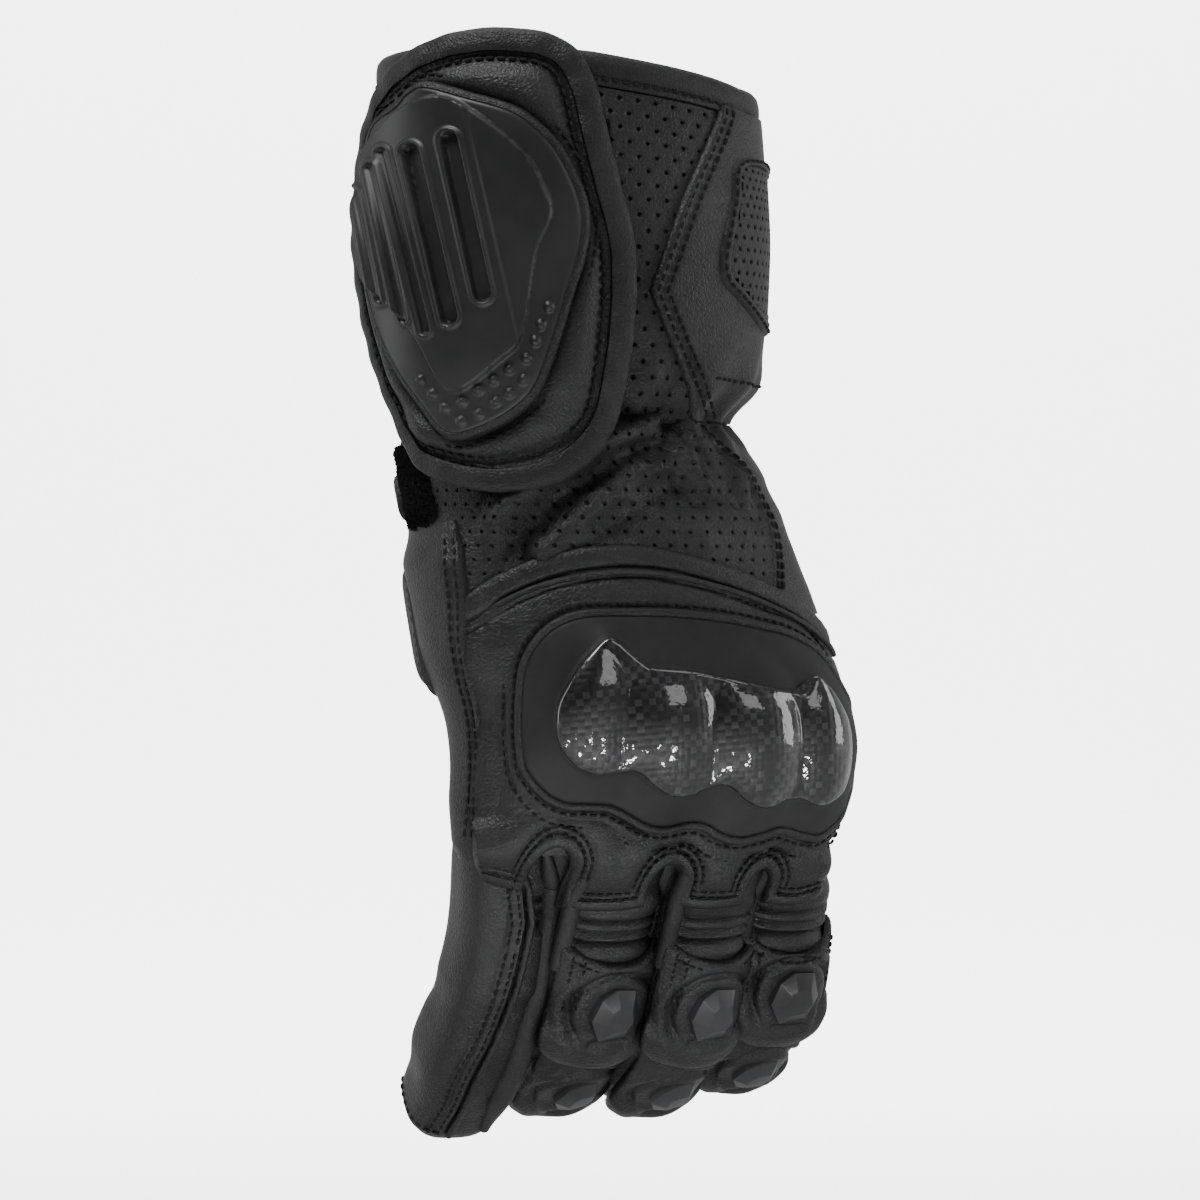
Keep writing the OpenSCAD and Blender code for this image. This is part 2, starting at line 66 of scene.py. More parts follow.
def noise(P, size, seed, n=7):
    """Smooth, repeatable noise of about -1 to 1 over points P, with features of about the given size."""
    r = np.random.default_rng(seed)
    out = 0
    for _ in range(n):
        d = unit(r.normal(size=P.shape[-1])) * r.uniform(0.6, 1.5) * math.pi / size
        out = out + np.sin(P @ d + r.uniform(0, 7))
    return out / n * 1.6
def curve(points, count, closed=True):
    """A smooth line through points, evenly spaced."""
    p = np.array(points, float)
    q = np.vstack([p[-1], p, p[:2]]) if closed else np.vstack([2 * p[0] - p[1], p, 2 * p[-1] - p[-2]])
    t = np.linspace(0, 1, 12, endpoint=False)[:, None]
    out = []
    for a, b, c, d in zip(q[:-3], q[1:-2], q[2:-1], q[3:]):
        out.append(0.5 * (2 * b + (c - a) * t + (2 * a - 5 * b + 4 * c - d) * t ** 2 + (3 * b - a - 3 * c + d)
            * t ** 3))
    out = np.vstack(out + [q[-2:-1]])
    s = np.concatenate([[0], np.cumsum(np.linalg.norm(np.diff(out, axis=0), axis=1))])
    w = np.linspace(0, s[-1], count + 1)[:-1] if closed else np.linspace(0, s[-1], count)
    return np.stack([np.interp(w, s, out[:, k]) for k in range(p.shape[1])], -1)
def seg_dist(P, a, b):
    a, b = np.array(a, float), np.array(b, float)
    d = b - a
    t = np.clip(((P - a) @ d) / max(d @ d, 1e-9), 0, 1)
    return np.linalg.norm(P - a - t[..., None] * d, axis=-1)
def line_dist(P, line):
    shape = P.shape[:-1]
    P = P.reshape(-1, 2)
    out = np.full(len(P), 1e9)
    for a, b in zip(line[:-1], line[1:]):
        out = np.minimum(out, seg_dist(P, a, b))
    return out.reshape(shape)
def inside(P, poly):
    """Signed distance to a closed outline: positive inside."""
    shape = P.shape[:-1]
    P = P.reshape(-1, 2)
    hit = np.zeros(len(P), bool)
    for a, b in zip(poly, np.roll(poly, -1, 0)):
        cross = (a[1] > P[:, 1]) != (b[1] > P[:, 1])
        x = (b[0] - a[0]) * (P[:, 1] - a[1]) / (b[1] - a[1] if b[1] != a[1] else 1e-9) + a[0]
        hit ^= cross & (P[:, 0] < x)
    d = line_dist(P, np.vstack([poly, poly[:1]]))
    return np.where(hit, d, -d).reshape(shape)
def shrink(loop, d):
    """A closed outline moved inwards by d."""
    t = unit(np.roll(loop, -1, 0) - np.roll(loop, 1, 0))
    n = xyz(-t[:, 1], t[:, 0])
    turn = np.sign(np.sum((loop.mean(0) - loop) * n))
    return loop + d * turn * n
def closed(loop): return np.vstack([loop, loop[:1]])
def grid(x, y): return np.stack(np.meshgrid(x, y), -1)
def edge(d, r):
    """The profile of an edge rounded over r: 0 at the edge, 1 from r inwards."""
    return np.sqrt(np.clip(1 - (1 - np.clip(d / r, 0, 1)) ** 2, 0, 1))
def even(h):
    """The same height everywhere."""
    return lambda P: np.full(P.shape[:-1], h)
def over(surf, lift):
    """A surface raised by lift(P)."""
    return lambda P, off=0: surf(P, off + lift(P))
def patch(t0, t1, n, z0, z1, m):
    """A grid over n angles in degrees and m heights."""
    return grid(np.linspace(t0, t1, n) * K, np.linspace(z0, z1, m))
def border(P):
    """Each point's distance to the nearest side of its patch."""
    t, z = P[0, :, 0], P[:, 0, 1]
    return np.minimum(np.minimum(P[..., 0] - t.min(), t.max() - P[..., 0]), np.minimum(z.max() - P[..., 1],
        P[..., 1] - z.min()))
def spread(line, edge_x, w):
    """Rows of points from a line across to the girth edge_x, at the shares w."""
    w = w[None, :, None]
    return line[:, None] * (1 - w) + xyz(edge_x, line[:, 1])[:, None] * w

# ---- meshes
def ring_grid(n, m, base=0, wrap=False):
    i, j = np.meshgrid(np.arange(n - 1), np.arange(m if wrap else m - 1), indexing="ij")
    k = (j + 1) % m
    return xyz(i * m + j, i * m + k, (i + 1) * m + k, (i + 1) * m + j).reshape(-1, 4) + base
def strip(a, b):
    a, b = np.asarray(a), np.asarray(b)
    return xyz(a[:-1], a[1:], b[1:], b[:-1])
def add_object(name, data):
    ob = bpy.data.objects.new(name, data)
    bpy.context.scene.collection.objects.link(ob)
    return ob
def dress(ob, mat):
    ob.data.materials.append(MAT[mat])
    return ob
def make(name, V, quads, tris=(), mat="leather", sharp=45, weld=False):
    me = bpy.data.meshes.new(name)
    me.from_pydata((np.asarray(V) * MM).tolist(), [], np.asarray(quads).tolist() + [list(t) for t in tris])
    bm = bmesh.new()
    bm.from_mesh(me)
    if weld:
        bmesh.ops.remove_doubles(bm, verts=bm.verts, dist=2e-6)
    bmesh.ops.recalc_face_normals(bm, faces=bm.faces)
    bm.to_mesh(me)
    bm.free()
    me.shade_smooth()
    if sharp:
        me.set_sharp_from_angle(angle=math.radians(sharp))
    return dress(add_object(name, me), mat)
def sheet(name, out, inn, **kw):
    """A closed sheet between two equal grids."""
    n, m = out.shape[:2]
    b = n * m
    V = np.vstack([out.reshape(-1, 3), inn.reshape(-1, 3)])
    g = np.arange(b).reshape(n, m)
    Q = np.vstack([ring_grid(n, m), ring_grid(n, m, b)] + [strip(e, e + b) for e in (g[0], g[-1], g[:, 0],
        g[:, -1])])
    return make(name, V, Q, **kw)
def tube(name, out, inn=None, cap_low=False, **kw):
    """A closed wall between two stacks of rings; with cap_low each stack's last ring closes on itself."""
    n, m = out.shape[:2]
    V, Q, T = [out.reshape(-1, 3)], [ring_grid(n, m, 0, True)], []
    top = np.arange(m + 1) % m
    if inn is not None:
        k = inn.shape[0]
        V.append(inn.reshape(-1, 3))
        Q += [ring_grid(k, m, n * m, True), strip(top, top + n * m)]
        if not cap_low:
            Q.append(strip((n - 1) * m + top, n * m + (k - 1) * m + top))
    if cap_low or inn is None:
        ends = [(n - 1) * m] + ([n * m + (k - 1) * m] if inn is not None else [0])
        V.append(np.array([np.vstack(V)[e:e + m].mean(0) for e in ends]))
        c = sum(len(v) for v in V[:-1])
        T = [(e + j, e + (j + 1) % m, c + i) for i, e in enumerate(ends) for j in range(m)]
    return make(name, np.vstack(V), np.vstack(Q), T, **kw)
def disk(name, surf, outline, top, low, rings=36, power=1.7, centre=None, low_rings=5, **kw):
    """A closed pad within an outline on a surface; top and low give its two heights over points."""
    c = outline.mean(0) if centre is None else np.array(centre, float)
    s = 1 - 0.985 * np.linspace(0, 1, rings + 1) ** power
    P = c + s[:, None, None] * (outline - c)
    s2 = 1 - 0.97 * np.linspace(0, 1, low_rings + 1)
    P2 = c + s2[:, None, None] * (outline - c)
    up, dn = surf(P, top(P)), surf(P2, low(P2))
    n, m = P.shape[:2]
    k = len(s2)
    V = np.vstack([up.reshape(-1, 3), dn.reshape(-1, 3), up[-1].mean(0)[None], dn[-1].mean(0)[None]])
    wrap = np.arange(m + 1) % m
    Q = np.vstack([ring_grid(n, m, 0, True), ring_grid(k, m, n * m, True), strip(wrap, wrap + n * m)])
    last = len(V) - 2
    T = [(e + j, e + (j + 1) % m, last + i) for i, e in enumerate(((n - 1) * m, n * m + (k - 1) * m))
        for j in range(m)]
    return make(name, V, Q, T, **kw)
def cord(name, pts, r, closed=True, sides=8, flat=1.0, nrm=None, **kw):
    """A round cord along points."""
    t = unit(np.roll(pts, -1, 0) - np.roll(pts, 1, 0)) if closed else unit(np.gradient(pts, axis=0))
    nrm = np.broadcast_to(A(0, -1, 0), pts.shape) if nrm is None else nrm
    b = unit(np.cross(t, nrm))
    n = unit(np.cross(b, t))
    a = np.linspace(0, 2 * math.pi, sides, endpoint=False)
    V = pts[:, None] + r * (np.cos(a)[:, None] * b[:, None] + flat * np.sin(a)[:, None] * n[:, None])
    if closed:
        m = len(pts)
        g = np.arange(m * sides).reshape(m, sides)
        h = np.roll(g, -1, 0)
        k = np.roll(g, -1, 1)
        Q = xyz(g, k, np.roll(k, -1, 0), h).reshape(-1, 4)
        return make(name, V.reshape(-1, 3), Q, **kw)
    return tube(name, V, **kw)
def stitch_mesh(paths, pitch=2.7, length=2.0, r=0.42):
    """Stitches along (points, normals) paths: short threads that dip into the leather at both ends."""
    rad = np.array([0.3, 0.85, 1, 1, 0.85, 0.3])
    pos = np.array([-0.5, -0.42, -0.2, 0.2, 0.42, 0.5])
    dip = np.array([-0.9, -0.25, 0.1, 0.1, -0.25, -0.9])
    a = np.linspace(0, 2 * math.pi, 6, endpoint=False)
    V, Q, base = [], [], 0
    for pts, nrm in paths:
        s = np.concatenate([[0], np.cumsum(np.linalg.norm(np.diff(pts, axis=0), axis=1))])
        w = np.arange(pitch / 2, s[-1] - pitch / 3, pitch)
        if not len(w):
            continue
        c = np.stack([np.interp(w, s, pts[:, k]) for k in range(3)], -1)
        c2 = np.stack([np.interp(w + 0.4, s, pts[:, k]) for k in range(3)], -1)
        c1 = np.stack([np.interp(w - 0.4, s, pts[:, k]) for k in range(3)], -1)
        n = unit(np.stack([np.interp(w, s, nrm[:, k]) for k in range(3)], -1))
        t = unit(c2 - c1)
        b = np.cross(t, n)
        v = (c[:, None, None] + t[:, None, None] * (pos * length)[None, :, None, None] + n[:, None, None]
            * (dip * r)[None, :, None, None] + (b[:, None, None] * np.cos(a)[None, None, :, None] + n[:, None,
            None] * np.sin(a)[None, None, :, None]) * (rad * r)[None, :, None, None])
        V.append(v.reshape(-1, 3))
        one = np.vstack([ring_grid(6, 6, 0, True), [[0, 1, 2, 3], [0, 3, 4, 5], [30, 33, 32, 31], [30, 35, 34,
            33]]])
        Q.append((one[None] + (base + 36 * np.arange(len(w)))[:, None, None]).reshape(-1, 4))
        base += 36 * len(w)
    return np.vstack(V), np.vstack(Q)
def stitches(name, paths, **kw):
    V, Q = stitch_mesh(paths, **kw)
    return make(name, V, Q, mat="thread", sharp=0)
def on(surf, line, off):
    """Points and normals of a line on a surface."""
    p = surf(line, off)
    return p, unit(surf(line, off + 0.5) - surf(line, off - 0.5))
def hem(surf, outline, *rows):
    """Seams round an outline: each row is how far in and how high."""
    return [on(surf, closed(shrink(outline, d)), off) for d, off in rows]
def perforated(name, surf, box, poly, off, pitch=(4.3, 3.9), hole=0.62, depth=1.1, bulge=None, **kw):
    """A leather panel with pricked holes, over box, kept where the tile's centre is inside poly."""
    (x0, x1), (z0, z1) = box
    nx, nz = int((x1 - x0) / pitch[0]), int((z1 - z0) / pitch[1])
    a = np.linspace(0, 2 * math.pi, 8, endpoint=False) + math.pi / 4
    sq = np.array([[1, 1], [0, 1], [-1, 1], [-1, 0], [-1, -1], [0, -1], [1, -1],
        [1, 0]]) * 0.5 * np.array(pitch)
    rings = [sq, sq * 0.62, xyz(np.cos(a), np.sin(a)) * hole * 1.25, xyz(np.cos(a), np.sin(a)) * hole,
        xyz(np.cos(a), np.sin(a)) * hole * 0.8, np.zeros((8, 2)) + 1e-4 * sq]
    h = np.array([0, 0, 0, -0.22, -depth, -depth])
    P, H = [], []
    for j in range(nz):
        for i in range(-1, nx + 1):
            c = A(x0 + (i + 0.5 + 0.5 * (j % 2)) * pitch[0], z0 + (j + 0.5) * pitch[1])
            if poly is None or inside(c[None], poly)[0] > 0:
                P.append(np.stack(rings) + c)
                H.append(np.broadcast_to(h[:, None], (6, 8)))
    P, H = np.array(P), np.array(H)
    count = len(P)
    grow = 0 if bulge is None else bulge(P)
    V = surf(P, off + H + grow).reshape(-1, 3)
    one = ring_grid(6, 8, 0, True)
    Q = (one[None] + (48 * np.arange(count))[:, None, None]).reshape(-1, 4)
    return make(name, V, Q, weld=True, sharp=60, **kw)

# ---- materials
def node_kit(tree):
    """For a node tree: add a node with its values, link sockets, do sums on sockets or numbers."""
    link = tree.links.new
    def add(kind, **vals):
        n = tree.nodes.new(kind)
        for k, v in vals.items():
            n.inputs[k].default_value = v
        return n
    def math_(op, *args):
        n = tree.nodes.new("ShaderNodeMath")
        n.operation = op
        for k, v in enumerate(args):
            if isinstance(v, (int, float)):
                n.inputs[k].default_value = v
            else:
                link(v, n.inputs[k])
        return n.outputs[0]
    return add, link, math_
def values(node, **vals):
    for k, v in vals.items():
        node.inputs[k.replace("_", " ")].default_value = v
def node_mat(name, base, rough, kind, scale=900, bump=0.25, spec=0.5, coat=0.0, sheen=0.0, vary=0.25):
    m = bpy.data.materials.new(name)
    m.use_nodes = True
    add, link, math_ = node_kit(m.node_tree)
    p = m.node_tree.nodes["Principled BSDF"]
    values(p, Specular_IOR_Level=spec, Coat_Weight=coat, Coat_Roughness=0.03, Sheen_Weight=sheen,
        Sheen_Roughness=0.5)
    where = add("ShaderNodeTexCoord").outputs["Object"]
    def ramp(src, black, white):
        r = add("ShaderNodeValToRGB")
        for stop, at, grey in zip(r.color_ramp.elements, (black, white), (0, 1)):
            stop.position, stop.color = at, (grey, grey, grey, 1)
        link(src, r.inputs["Fac"])
        return r.outputs["Color"]
    big = add("ShaderNodeTexNoise", Scale=38.0, Detail=4.0, Roughness=0.6)
    fine = add("ShaderNodeTexNoise", Scale=scale * 0.8, Detail=5.0, Roughness=0.65)
    for n in (big, fine):
        link(where, n.inputs["Vector"])
    lo, hi = [c * (1 - vary) for c in base], [min(1, c * (1 + vary) + 0.002) for c in base]
    mix = add("ShaderNodeMix")
    mix.data_type = "RGBA"
    values(mix, A=(*lo, 1), B=(*hi, 1))
    link(ramp(big.outputs["Fac"], 0.3, 0.7), mix.inputs["Factor"])
    height = fine.outputs["Fac"]
    if kind == "leather":
        vor = add("ShaderNodeTexVoronoi", Scale=float(scale))
        vor.feature = "DISTANCE_TO_EDGE"
        warp = add("ShaderNodeTexNoise", Scale=scale * 0.35, Detail=2.0)
        link(where, warp.inputs["Vector"])
        w = add("ShaderNodeVectorMath")
        w.operation = "MULTIPLY_ADD"
        link(warp.outputs["Color"], w.inputs[0])
        w.inputs[1].default_value = (0.0012,) * 3
        link(where, w.inputs[2])
        link(w.outputs[0], vor.inputs["Vector"])
        cells = ramp(vor.outputs["Distance"], 0.0, 0.22)
        creases = add("ShaderNodeTexNoise", Scale=130.0, Detail=6.0, Roughness=0.7, Distortion=1.6)
        flat = add("ShaderNodeMapping", Scale=(1.0, 1.0, 2.4))
        link(where, flat.inputs["Vector"])
        link(flat.outputs["Vector"], creases.inputs["Vector"])
        height = math_("ADD", math_("MULTIPLY", cells, 0.5), math_("ADD", math_("MULTIPLY",
            fine.outputs["Fac"], 0.35), math_("MULTIPLY", creases.outputs["Fac"], 1.7)))
    if kind == "carbon":
        # a twill of two crossing tows, over and under in steps
        wav = add("ShaderNodeMapping", Rotation=(0, 0.1, 0), Scale=(620, 620, 620))
        link(where, wav.inputs["Vector"])
        sep = add("ShaderNodeSeparateXYZ")
        link(wav.outputs[0], sep.inputs[0])
        fx, fz = math_("FLOOR", sep.outputs["X"], 0), math_("FLOOR", sep.outputs["Z"], 0)
        odd = math_("GREATER_THAN", math_("MODULO", math_("ABSOLUTE", math_("ADD", fx, fz), 0), 2), 0.5)
        per = add("ShaderNodeTexWhiteNoise")
        per.noise_dimensions = "2D"
        cell = add("ShaderNodeCombineXYZ")
        link(fx, cell.inputs[0])
        link(fz, cell.inputs[1])
        link(cell.outputs[0], per.inputs["Vector"])
        values(mix, A=(0.002, 0.002, 0.0022, 1), B=(0.022, 0.022, 0.024, 1))
        fac = math_("MULTIPLY", math_("ADD", math_("MULTIPLY", odd, 0.75), 0.12), per.outputs["Value"])
        link(fac, mix.inputs["Factor"])
        ux, uz = math_("FRACT", sep.outputs["X"], 0), math_("FRACT", sep.outputs["Z"], 0)
        height = math_("ADD", math_("MULTIPLY", math_("PINGPONG", ux, 0.5), 1.0), math_("PINGPONG", uz, 0.5))
        p.inputs["Metallic"].default_value = 0.2
    if kind == "knit":
        wave = add("ShaderNodeTexWave", Scale=700.0, Distortion=2.0, Detail=1.0)
        link(where, wave.inputs["Vector"])
        height = math_("ADD", wave.outputs["Fac"], math_("MULTIPLY", fine.outputs["Fac"], 0.6))
    if kind == "fuzz":
        height = math_("MULTIPLY", fine.outputs["Fac"], 2.0)
    link(mix.outputs["Result"], p.inputs["Base Color"])
    rr = add("ShaderNodeMapRange")
    values(rr, To_Min=rough - 0.07, To_Max=rough + 0.09)
    link(big.outputs["Fac"], rr.inputs["Value"])
    link(rr.outputs["Result"], p.inputs["Roughness"])
    b = add("ShaderNodeBump", Strength=bump, Distance=0.0006)
    link(height, b.inputs["Height"])
    link(b.outputs["Normal"], p.inputs["Normal"])
    if coat:
        uneven = add("ShaderNodeTexNoise", Scale=420.0, Detail=2.0)
        link(where, uneven.inputs["Vector"])
        cb = add("ShaderNodeBump", Strength=0.16, Distance=0.0007)
        link(uneven.outputs["Fac"], cb.inputs["Height"])
        link(cb.outputs["Normal"], p.inputs["Coat Normal"])
    return m
MAT = {"leather": node_mat("leather", (0.006, 0.006, 0.0065), 0.39, "leather", 850, 0.36, 0.29),
    "matte": node_mat("matte leather", (0.006, 0.006, 0.0064), 0.43, "leather", 1000, 0.35, 0.26),
    "perf": node_mat("perforated leather", (0.0065, 0.0065, 0.007), 0.42, "leather", 900, 0.38, 0.26),
    "rubber": node_mat("matte rubber", (0.0085, 0.0085, 0.009), 0.55, "plain", 1500, 0.06, 0.16),
    "carbon": node_mat("woven fibre", (0.02, 0.02, 0.02), 0.4, "carbon", 600, 0.2, 0.35, coat=1.0),
    "gem": node_mat("hard plastic", (0.011, 0.011, 0.012), 0.4, "plain", 1800, 0.06, 0.35),
    "plate": node_mat("moulded plate", (0.009, 0.009, 0.0095), 0.42, "plain", 1500, 0.05, 0.32),
    "fuzz": node_mat("loop pile", (0.004, 0.004, 0.0045), 0.95, "fuzz", 1600, 1.0, 0.06),
    "lining": node_mat("knitted lining", (0.014, 0.014, 0.015), 0.9, "knit", 1200, 0.6, 0.15, sheen=0.1),
    "stretch": node_mat("stretch leather", (0.0075, 0.0075, 0.008), 0.5, "leather", 1100, 0.25, 0.25),
    # black thread, its colour set darker than the leather as painted shade in and round the stitch holes
    "thread": node_mat("thread", (0.004, 0.004, 0.0045), 0.65, "knit", 2500, 0.3, 0.15),}

# ---- the arm tube, read from the CAD linings and gather
def levels(node, off):
    co = np.array([v.co for v in frame["nodes"][node].data.vertices]) / MM
    z = co[:, 2].round(1)
    out = []
    for level in np.unique(z):
        p = co[z == level]
        if len(p) >= 50:
            lo, hi = p.min(0), p.max(0)
            out.append([level, (lo[0] + hi[0]) / 2, (lo[1] + hi[1]) / 2, (hi[0] - lo[0]) / 2 + off,
                (hi[1] - lo[1]) / 2 + off])
    return out
rows = np.array(sorted(levels("gauntlet_lining", 2.6) + levels("wrist_gather", 0) + levels("hand_lining",
    2.1)))
ZS = np.arange(-230, 40, 0.5)
def extended(k):
    lo = rows[0, k] + (ZS - rows[0, 0]) * 0.15 * (rows[1, k] - rows[0, k]) / (rows[1, 0] - rows[0, 0])
    hi = rows[-1, k] + (ZS - rows[-1, 0]) * (rows[-1, k] - rows[-2, k]) / (rows[-1, 0] - rows[-2, 0])
    v = np.interp(ZS, rows[:, 0], rows[:, k])
    v = np.where(ZS < rows[0, 0], lo, np.where(ZS > rows[-1, 0], hi, v))
    w = np.exp(-0.5 * (np.arange(-30, 31) / 9) ** 2)
    return np.convolve(np.pad(v, 30, mode="edge"), w / w.sum(), "valid")
PROFILE = [extended(k) for k in range(1, 5)]
ARM_ROUND = 2.3    # 2 is an ellipse, more is squarer
def rounding(c, s, power): return (np.abs(c) ** power + np.abs(s) ** power) ** (1 / power)
def arm(P, off=0.0):
    th, z = np.radians(P[..., 0] / K), P[..., 1]
    cx, cy, a, b = (np.interp(z, ZS, c) for c in PROFILE)
    c, s = np.cos(th), np.sin(th)
    n = rounding(c, s, ARM_ROUND)
    return xyz(cx + (a + off) * c / n, cy - (b + off) * s / n, z)
def cuff(P, off=0.0):
    """The gauntlet's surface: the arm tube with its mouth sloping down towards the thumb side."""
    drop = np.interp(np.mod(P[..., 0] / K, 360), [0, 20, 44, 70, 98, 130, 200, 300, 360], [8.5, 9.5, 9, 6, 3,
        1.5, 1, 5.5, 8.5])
    return arm(xyz(P[..., 0], P[..., 1] - drop * step(P[..., 1], -45, 0)), off)
def tz(*pts): return np.array([[t * K, z] for t, z in pts])
# how the photographer's eye sees a point: across and up, in mm
EYE = A(0.342, 0.94, 0)
RIGHT = A(0.94, -0.342, 0)
AIM = A(8, -2.9, -134.5)
VIEW_DISTANCE = 1000
def seen(p):
    q = p - AIM
    k = VIEW_DISTANCE / (VIEW_DISTANCE + q @ EYE)
    return xyz(8.5 + k * (q @ RIGHT), -134.5 + k * q[..., 2])
def found(uv, off, lo=-12, hi=178):
    """The arm points (girth, z) that the eye sees at uv."""
    uv = np.array(uv, float)
    a, b = np.full(len(uv), lo * K), np.full(len(uv), hi * K)
    z = uv[:, 1].copy()
    for _ in range(40):
        m = (a + b) / 2
        s = seen(arm(xyz(m, z), off))
        right = s[:, 0] > uv[:, 0]
        a, b = np.where(right, m, a), np.where(right, b, m)
        z += uv[:, 1] - s[:, 1]
    return xyz((a + b) / 2, z)

def ride(ob, body, *stands_for):
    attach(ob, body)
    if stands_for:
        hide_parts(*stands_for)
    return ob
def bend(ob, a, b, start, end, *stands_for):
    tuple(np.array(start) * MM)
    tuple(np.array(end) * MM)
    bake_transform(ob)
    if stands_for:
        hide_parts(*stands_for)
    return ob
WRIST = ("gauntlet", "hand", (0, 0, -85), (0, 0, -99))
def torus(name, rows, **kw):
    """A closed band: rows of closed loops, the last joined to the first."""
    V = np.stack(rows)
    n, m = V.shape[:2]
    g = np.arange(n * m).reshape(n, m)
    k = np.roll(g, -1, 1)
    return make(name, V.reshape(-1, 3), xyz(g, k, np.roll(k, -1, 0), np.roll(g, -1, 0)).reshape(-1, 4), **kw)

# ---- gauntlet
GIRTH = np.linspace(0, 360 * K, 241)[:-1]
def cuff_bump(P):
    q = cuff(P)
    low = step(-P[..., 1], 68, 87)
    return (0.45 * noise(q, 34, 1) + 0.25 * noise(q, 12, 2) * (0.4 + low) + low * 2.3 * (np.sin(P[..., 0]
        / 5.2 + 1.2 * np.sin(P[..., 1] / 11)) ** 2 - 0.6))
def tuck(P):
    thumb_side = step(P[..., 0] / K, 66, 40) + step(P[..., 0] / K, 330, 350)
    return -3.6 * step(-P[..., 1], 81, 91) - 3.6 * thumb_side * step(-P[..., 1], 78, 91)
CUFF_LOW = -91
P = grid(GIRTH, np.linspace(0, CUFF_LOW, 92))
ride(tube("cuff_skin", cuff(P, cuff_bump(P) * step(-P[..., 1], 0, 9) + tuck(P)), cuff(P, -1.8 + tuck(P))),
    "gauntlet", "gauntlet_back", "gauntlet_thumb_side", "gauntlet_palm")
ride(perforated("cuff_perforated_back", cuff, ((47 * K, 103 * K), (-90, -5.5)), None, 0.95, pitch=(4.6, 3.9),
    hole=0.6, depth=0.9, bulge=lambda P: cuff_bump(P) + tuck(P), mat="perf"), "gauntlet")
P = grid(GIRTH, np.linspace(-1.5, -84, 60))
ride(tube("cuff_lining", cuff(P, -1.9 + 0.12 * noise(cuff(P), 14, 3)), cuff(P, -3.0 + 0.25 * noise(cuff(P),
    14, 3)), mat="lining"), "gauntlet", "gauntlet_lining")
# bound mouth edge: wraps over the top of both layers
def band_ring(prof): return [cuff(xyz(GIRTH, z), o) for o, z in prof]
PROF = [(0.7, -7.9), (1.5, -7.6), (1.75, -6.4), (1.35, -5.6), (1.9, -4.6), (2.1, -2.2), (1.9, -0.4),
    (1.1, 0.7), (-0.8, 1.0), (-2.6, 0.6), (-3.6, -0.8), (-3.7, -6.8), (-3.2, -7.4), (-2.2, -7.0), (0.1, -6.8)]
ride(torus("mouth_edge", band_ring(PROF), mat="matte"), "gauntlet", "mouth_binding")
# smooth panel on the thumb side, with its pointed seam
SEAM = curve(np.vstack([tz((56, -6), (57.5, -11)), found([(30, -33), (21.5, -57)], 2.3)]), 40, closed=False)
SEAM = np.vstack([SEAM, curve(found([(21.5, -57), (26.5, -69), (31.4, -80), (34.5, -89.5)], 2.3), 32,
    closed=False)[1:]])
P = spread(SEAM, -34 * K, 1 - np.cos(np.linspace(0, math.pi / 2, 44)))
d = P[:, :1, 0] - P[..., 0]
pitch = np.minimum(d, np.minimum(-5.5 - P[..., 1], P[..., 1] + 90.0))
lift = 1.5 * edge(d + 0.05, 1.0) + 0.9 - 0.35 * hump(d, 3.0, 1.5) + cuff_bump(P) * 0.8 + tuck(P)
ride(sheet("cuff_thumb_panel", cuff(P, lift), cuff(P, np.minimum(lift - 1.0, 0.2 + tuck(P))), mat="leather"),
    "gauntlet")
paths = [on(cuff, SEAM - A(k, 0), 2.3) for k in (1.7, 4.2)]
low_seam = curve(tz((58, -80), (30, -81), (4, -80.5), (-24, -80)), 60, closed=False)
paths += [on(over(cuff, lambda Q: cuff_bump(Q) * 0.8 + tuck(Q)), low_seam, 2.45)]
mouth_stitch = xyz(np.linspace(0, 360 * K, 300), -6.0)
paths.append(on(cuff, mouth_stitch, 1.65))
ride(stitches("cuff_stitching", paths), "gauntlet")
# vent
VENT = curve(np.vstack([found([(44.8, -21), (43, -34), (40.5, -51), (44.5, -58)], 3), tz((30, -66), (16, -65),
    (4, -50), (6, -34), (20, -23))]), 140)
ride(perforated("cuff_vent_mesh", cuff, ((3 * K, 59 * K), (-70, -21)), shrink(VENT, 0.8), 2.75, pitch=(3.2,
    2.9), hole=0.55, depth=0.6, mat="perf"), "gauntlet", "gauntlet_vent")
rim = [cuff(shrink(VENT, a), o) for a, o in ((-1.8, 1.4), (-1.8, 2.2), (-1.1, 3.0), (0.1, 3.3), (1.0, 3.0),
    (1.3, 2.5), (1.2, 1.4))]
ride(torus("cuff_vent_rim", rim, mat="matte"), "gauntlet")
ride(stitches("cuff_vent_stitching", hem(cuff, VENT, (-0.5, 3.2))), "gauntlet")
# loop patch under the flap and the flap's sewn anchor
def hooks(P, off, seed): return off + 0.2 * np.random.default_rng(seed).uniform(-1, 1, P.shape[:-1])
def fuzzy(P, off, seed, amount=0.45):
    return off + amount * np.random.default_rng(seed).uniform(-1, 1, P.shape[:-1]) + 0.3 * noise(cuff(P), 5,
        seed)
P = patch(101, 150, 80, -15, -77, 90)
ride(sheet("cuff_loop_pile", cuff(P, fuzzy(P, 1.45, 4)), cuff(P, 0.1), mat="fuzz"), "gauntlet",
    "flap_loop_patch")
P = patch(183, 215, 40, -11, -73, 60)
d = border(P)
ride(sheet("flap_anchor_patch", cuff(P, 0.7 + 1.6 * edge(d, 1.5) + 0.3 * noise(cuff(P), 9, 5)),
    cuff(P, -0.2)), "gauntlet", "flap_anchor")
box_path = closed(tz((186, -14), (212, -14), (212, -70), (186, -70)))
cross = [curve(tz((186, -14), (212, -70)), 60, closed=False), curve(tz((212, -14), (186, -70)), 60,
    closed=False)]
ride(stitches("flap_anchor_stitching", [on(cuff, curve(box_path, 160, closed=False), 2.35)] + [on(cuff, c,
    2.45) for c in cross]), "gauntlet")

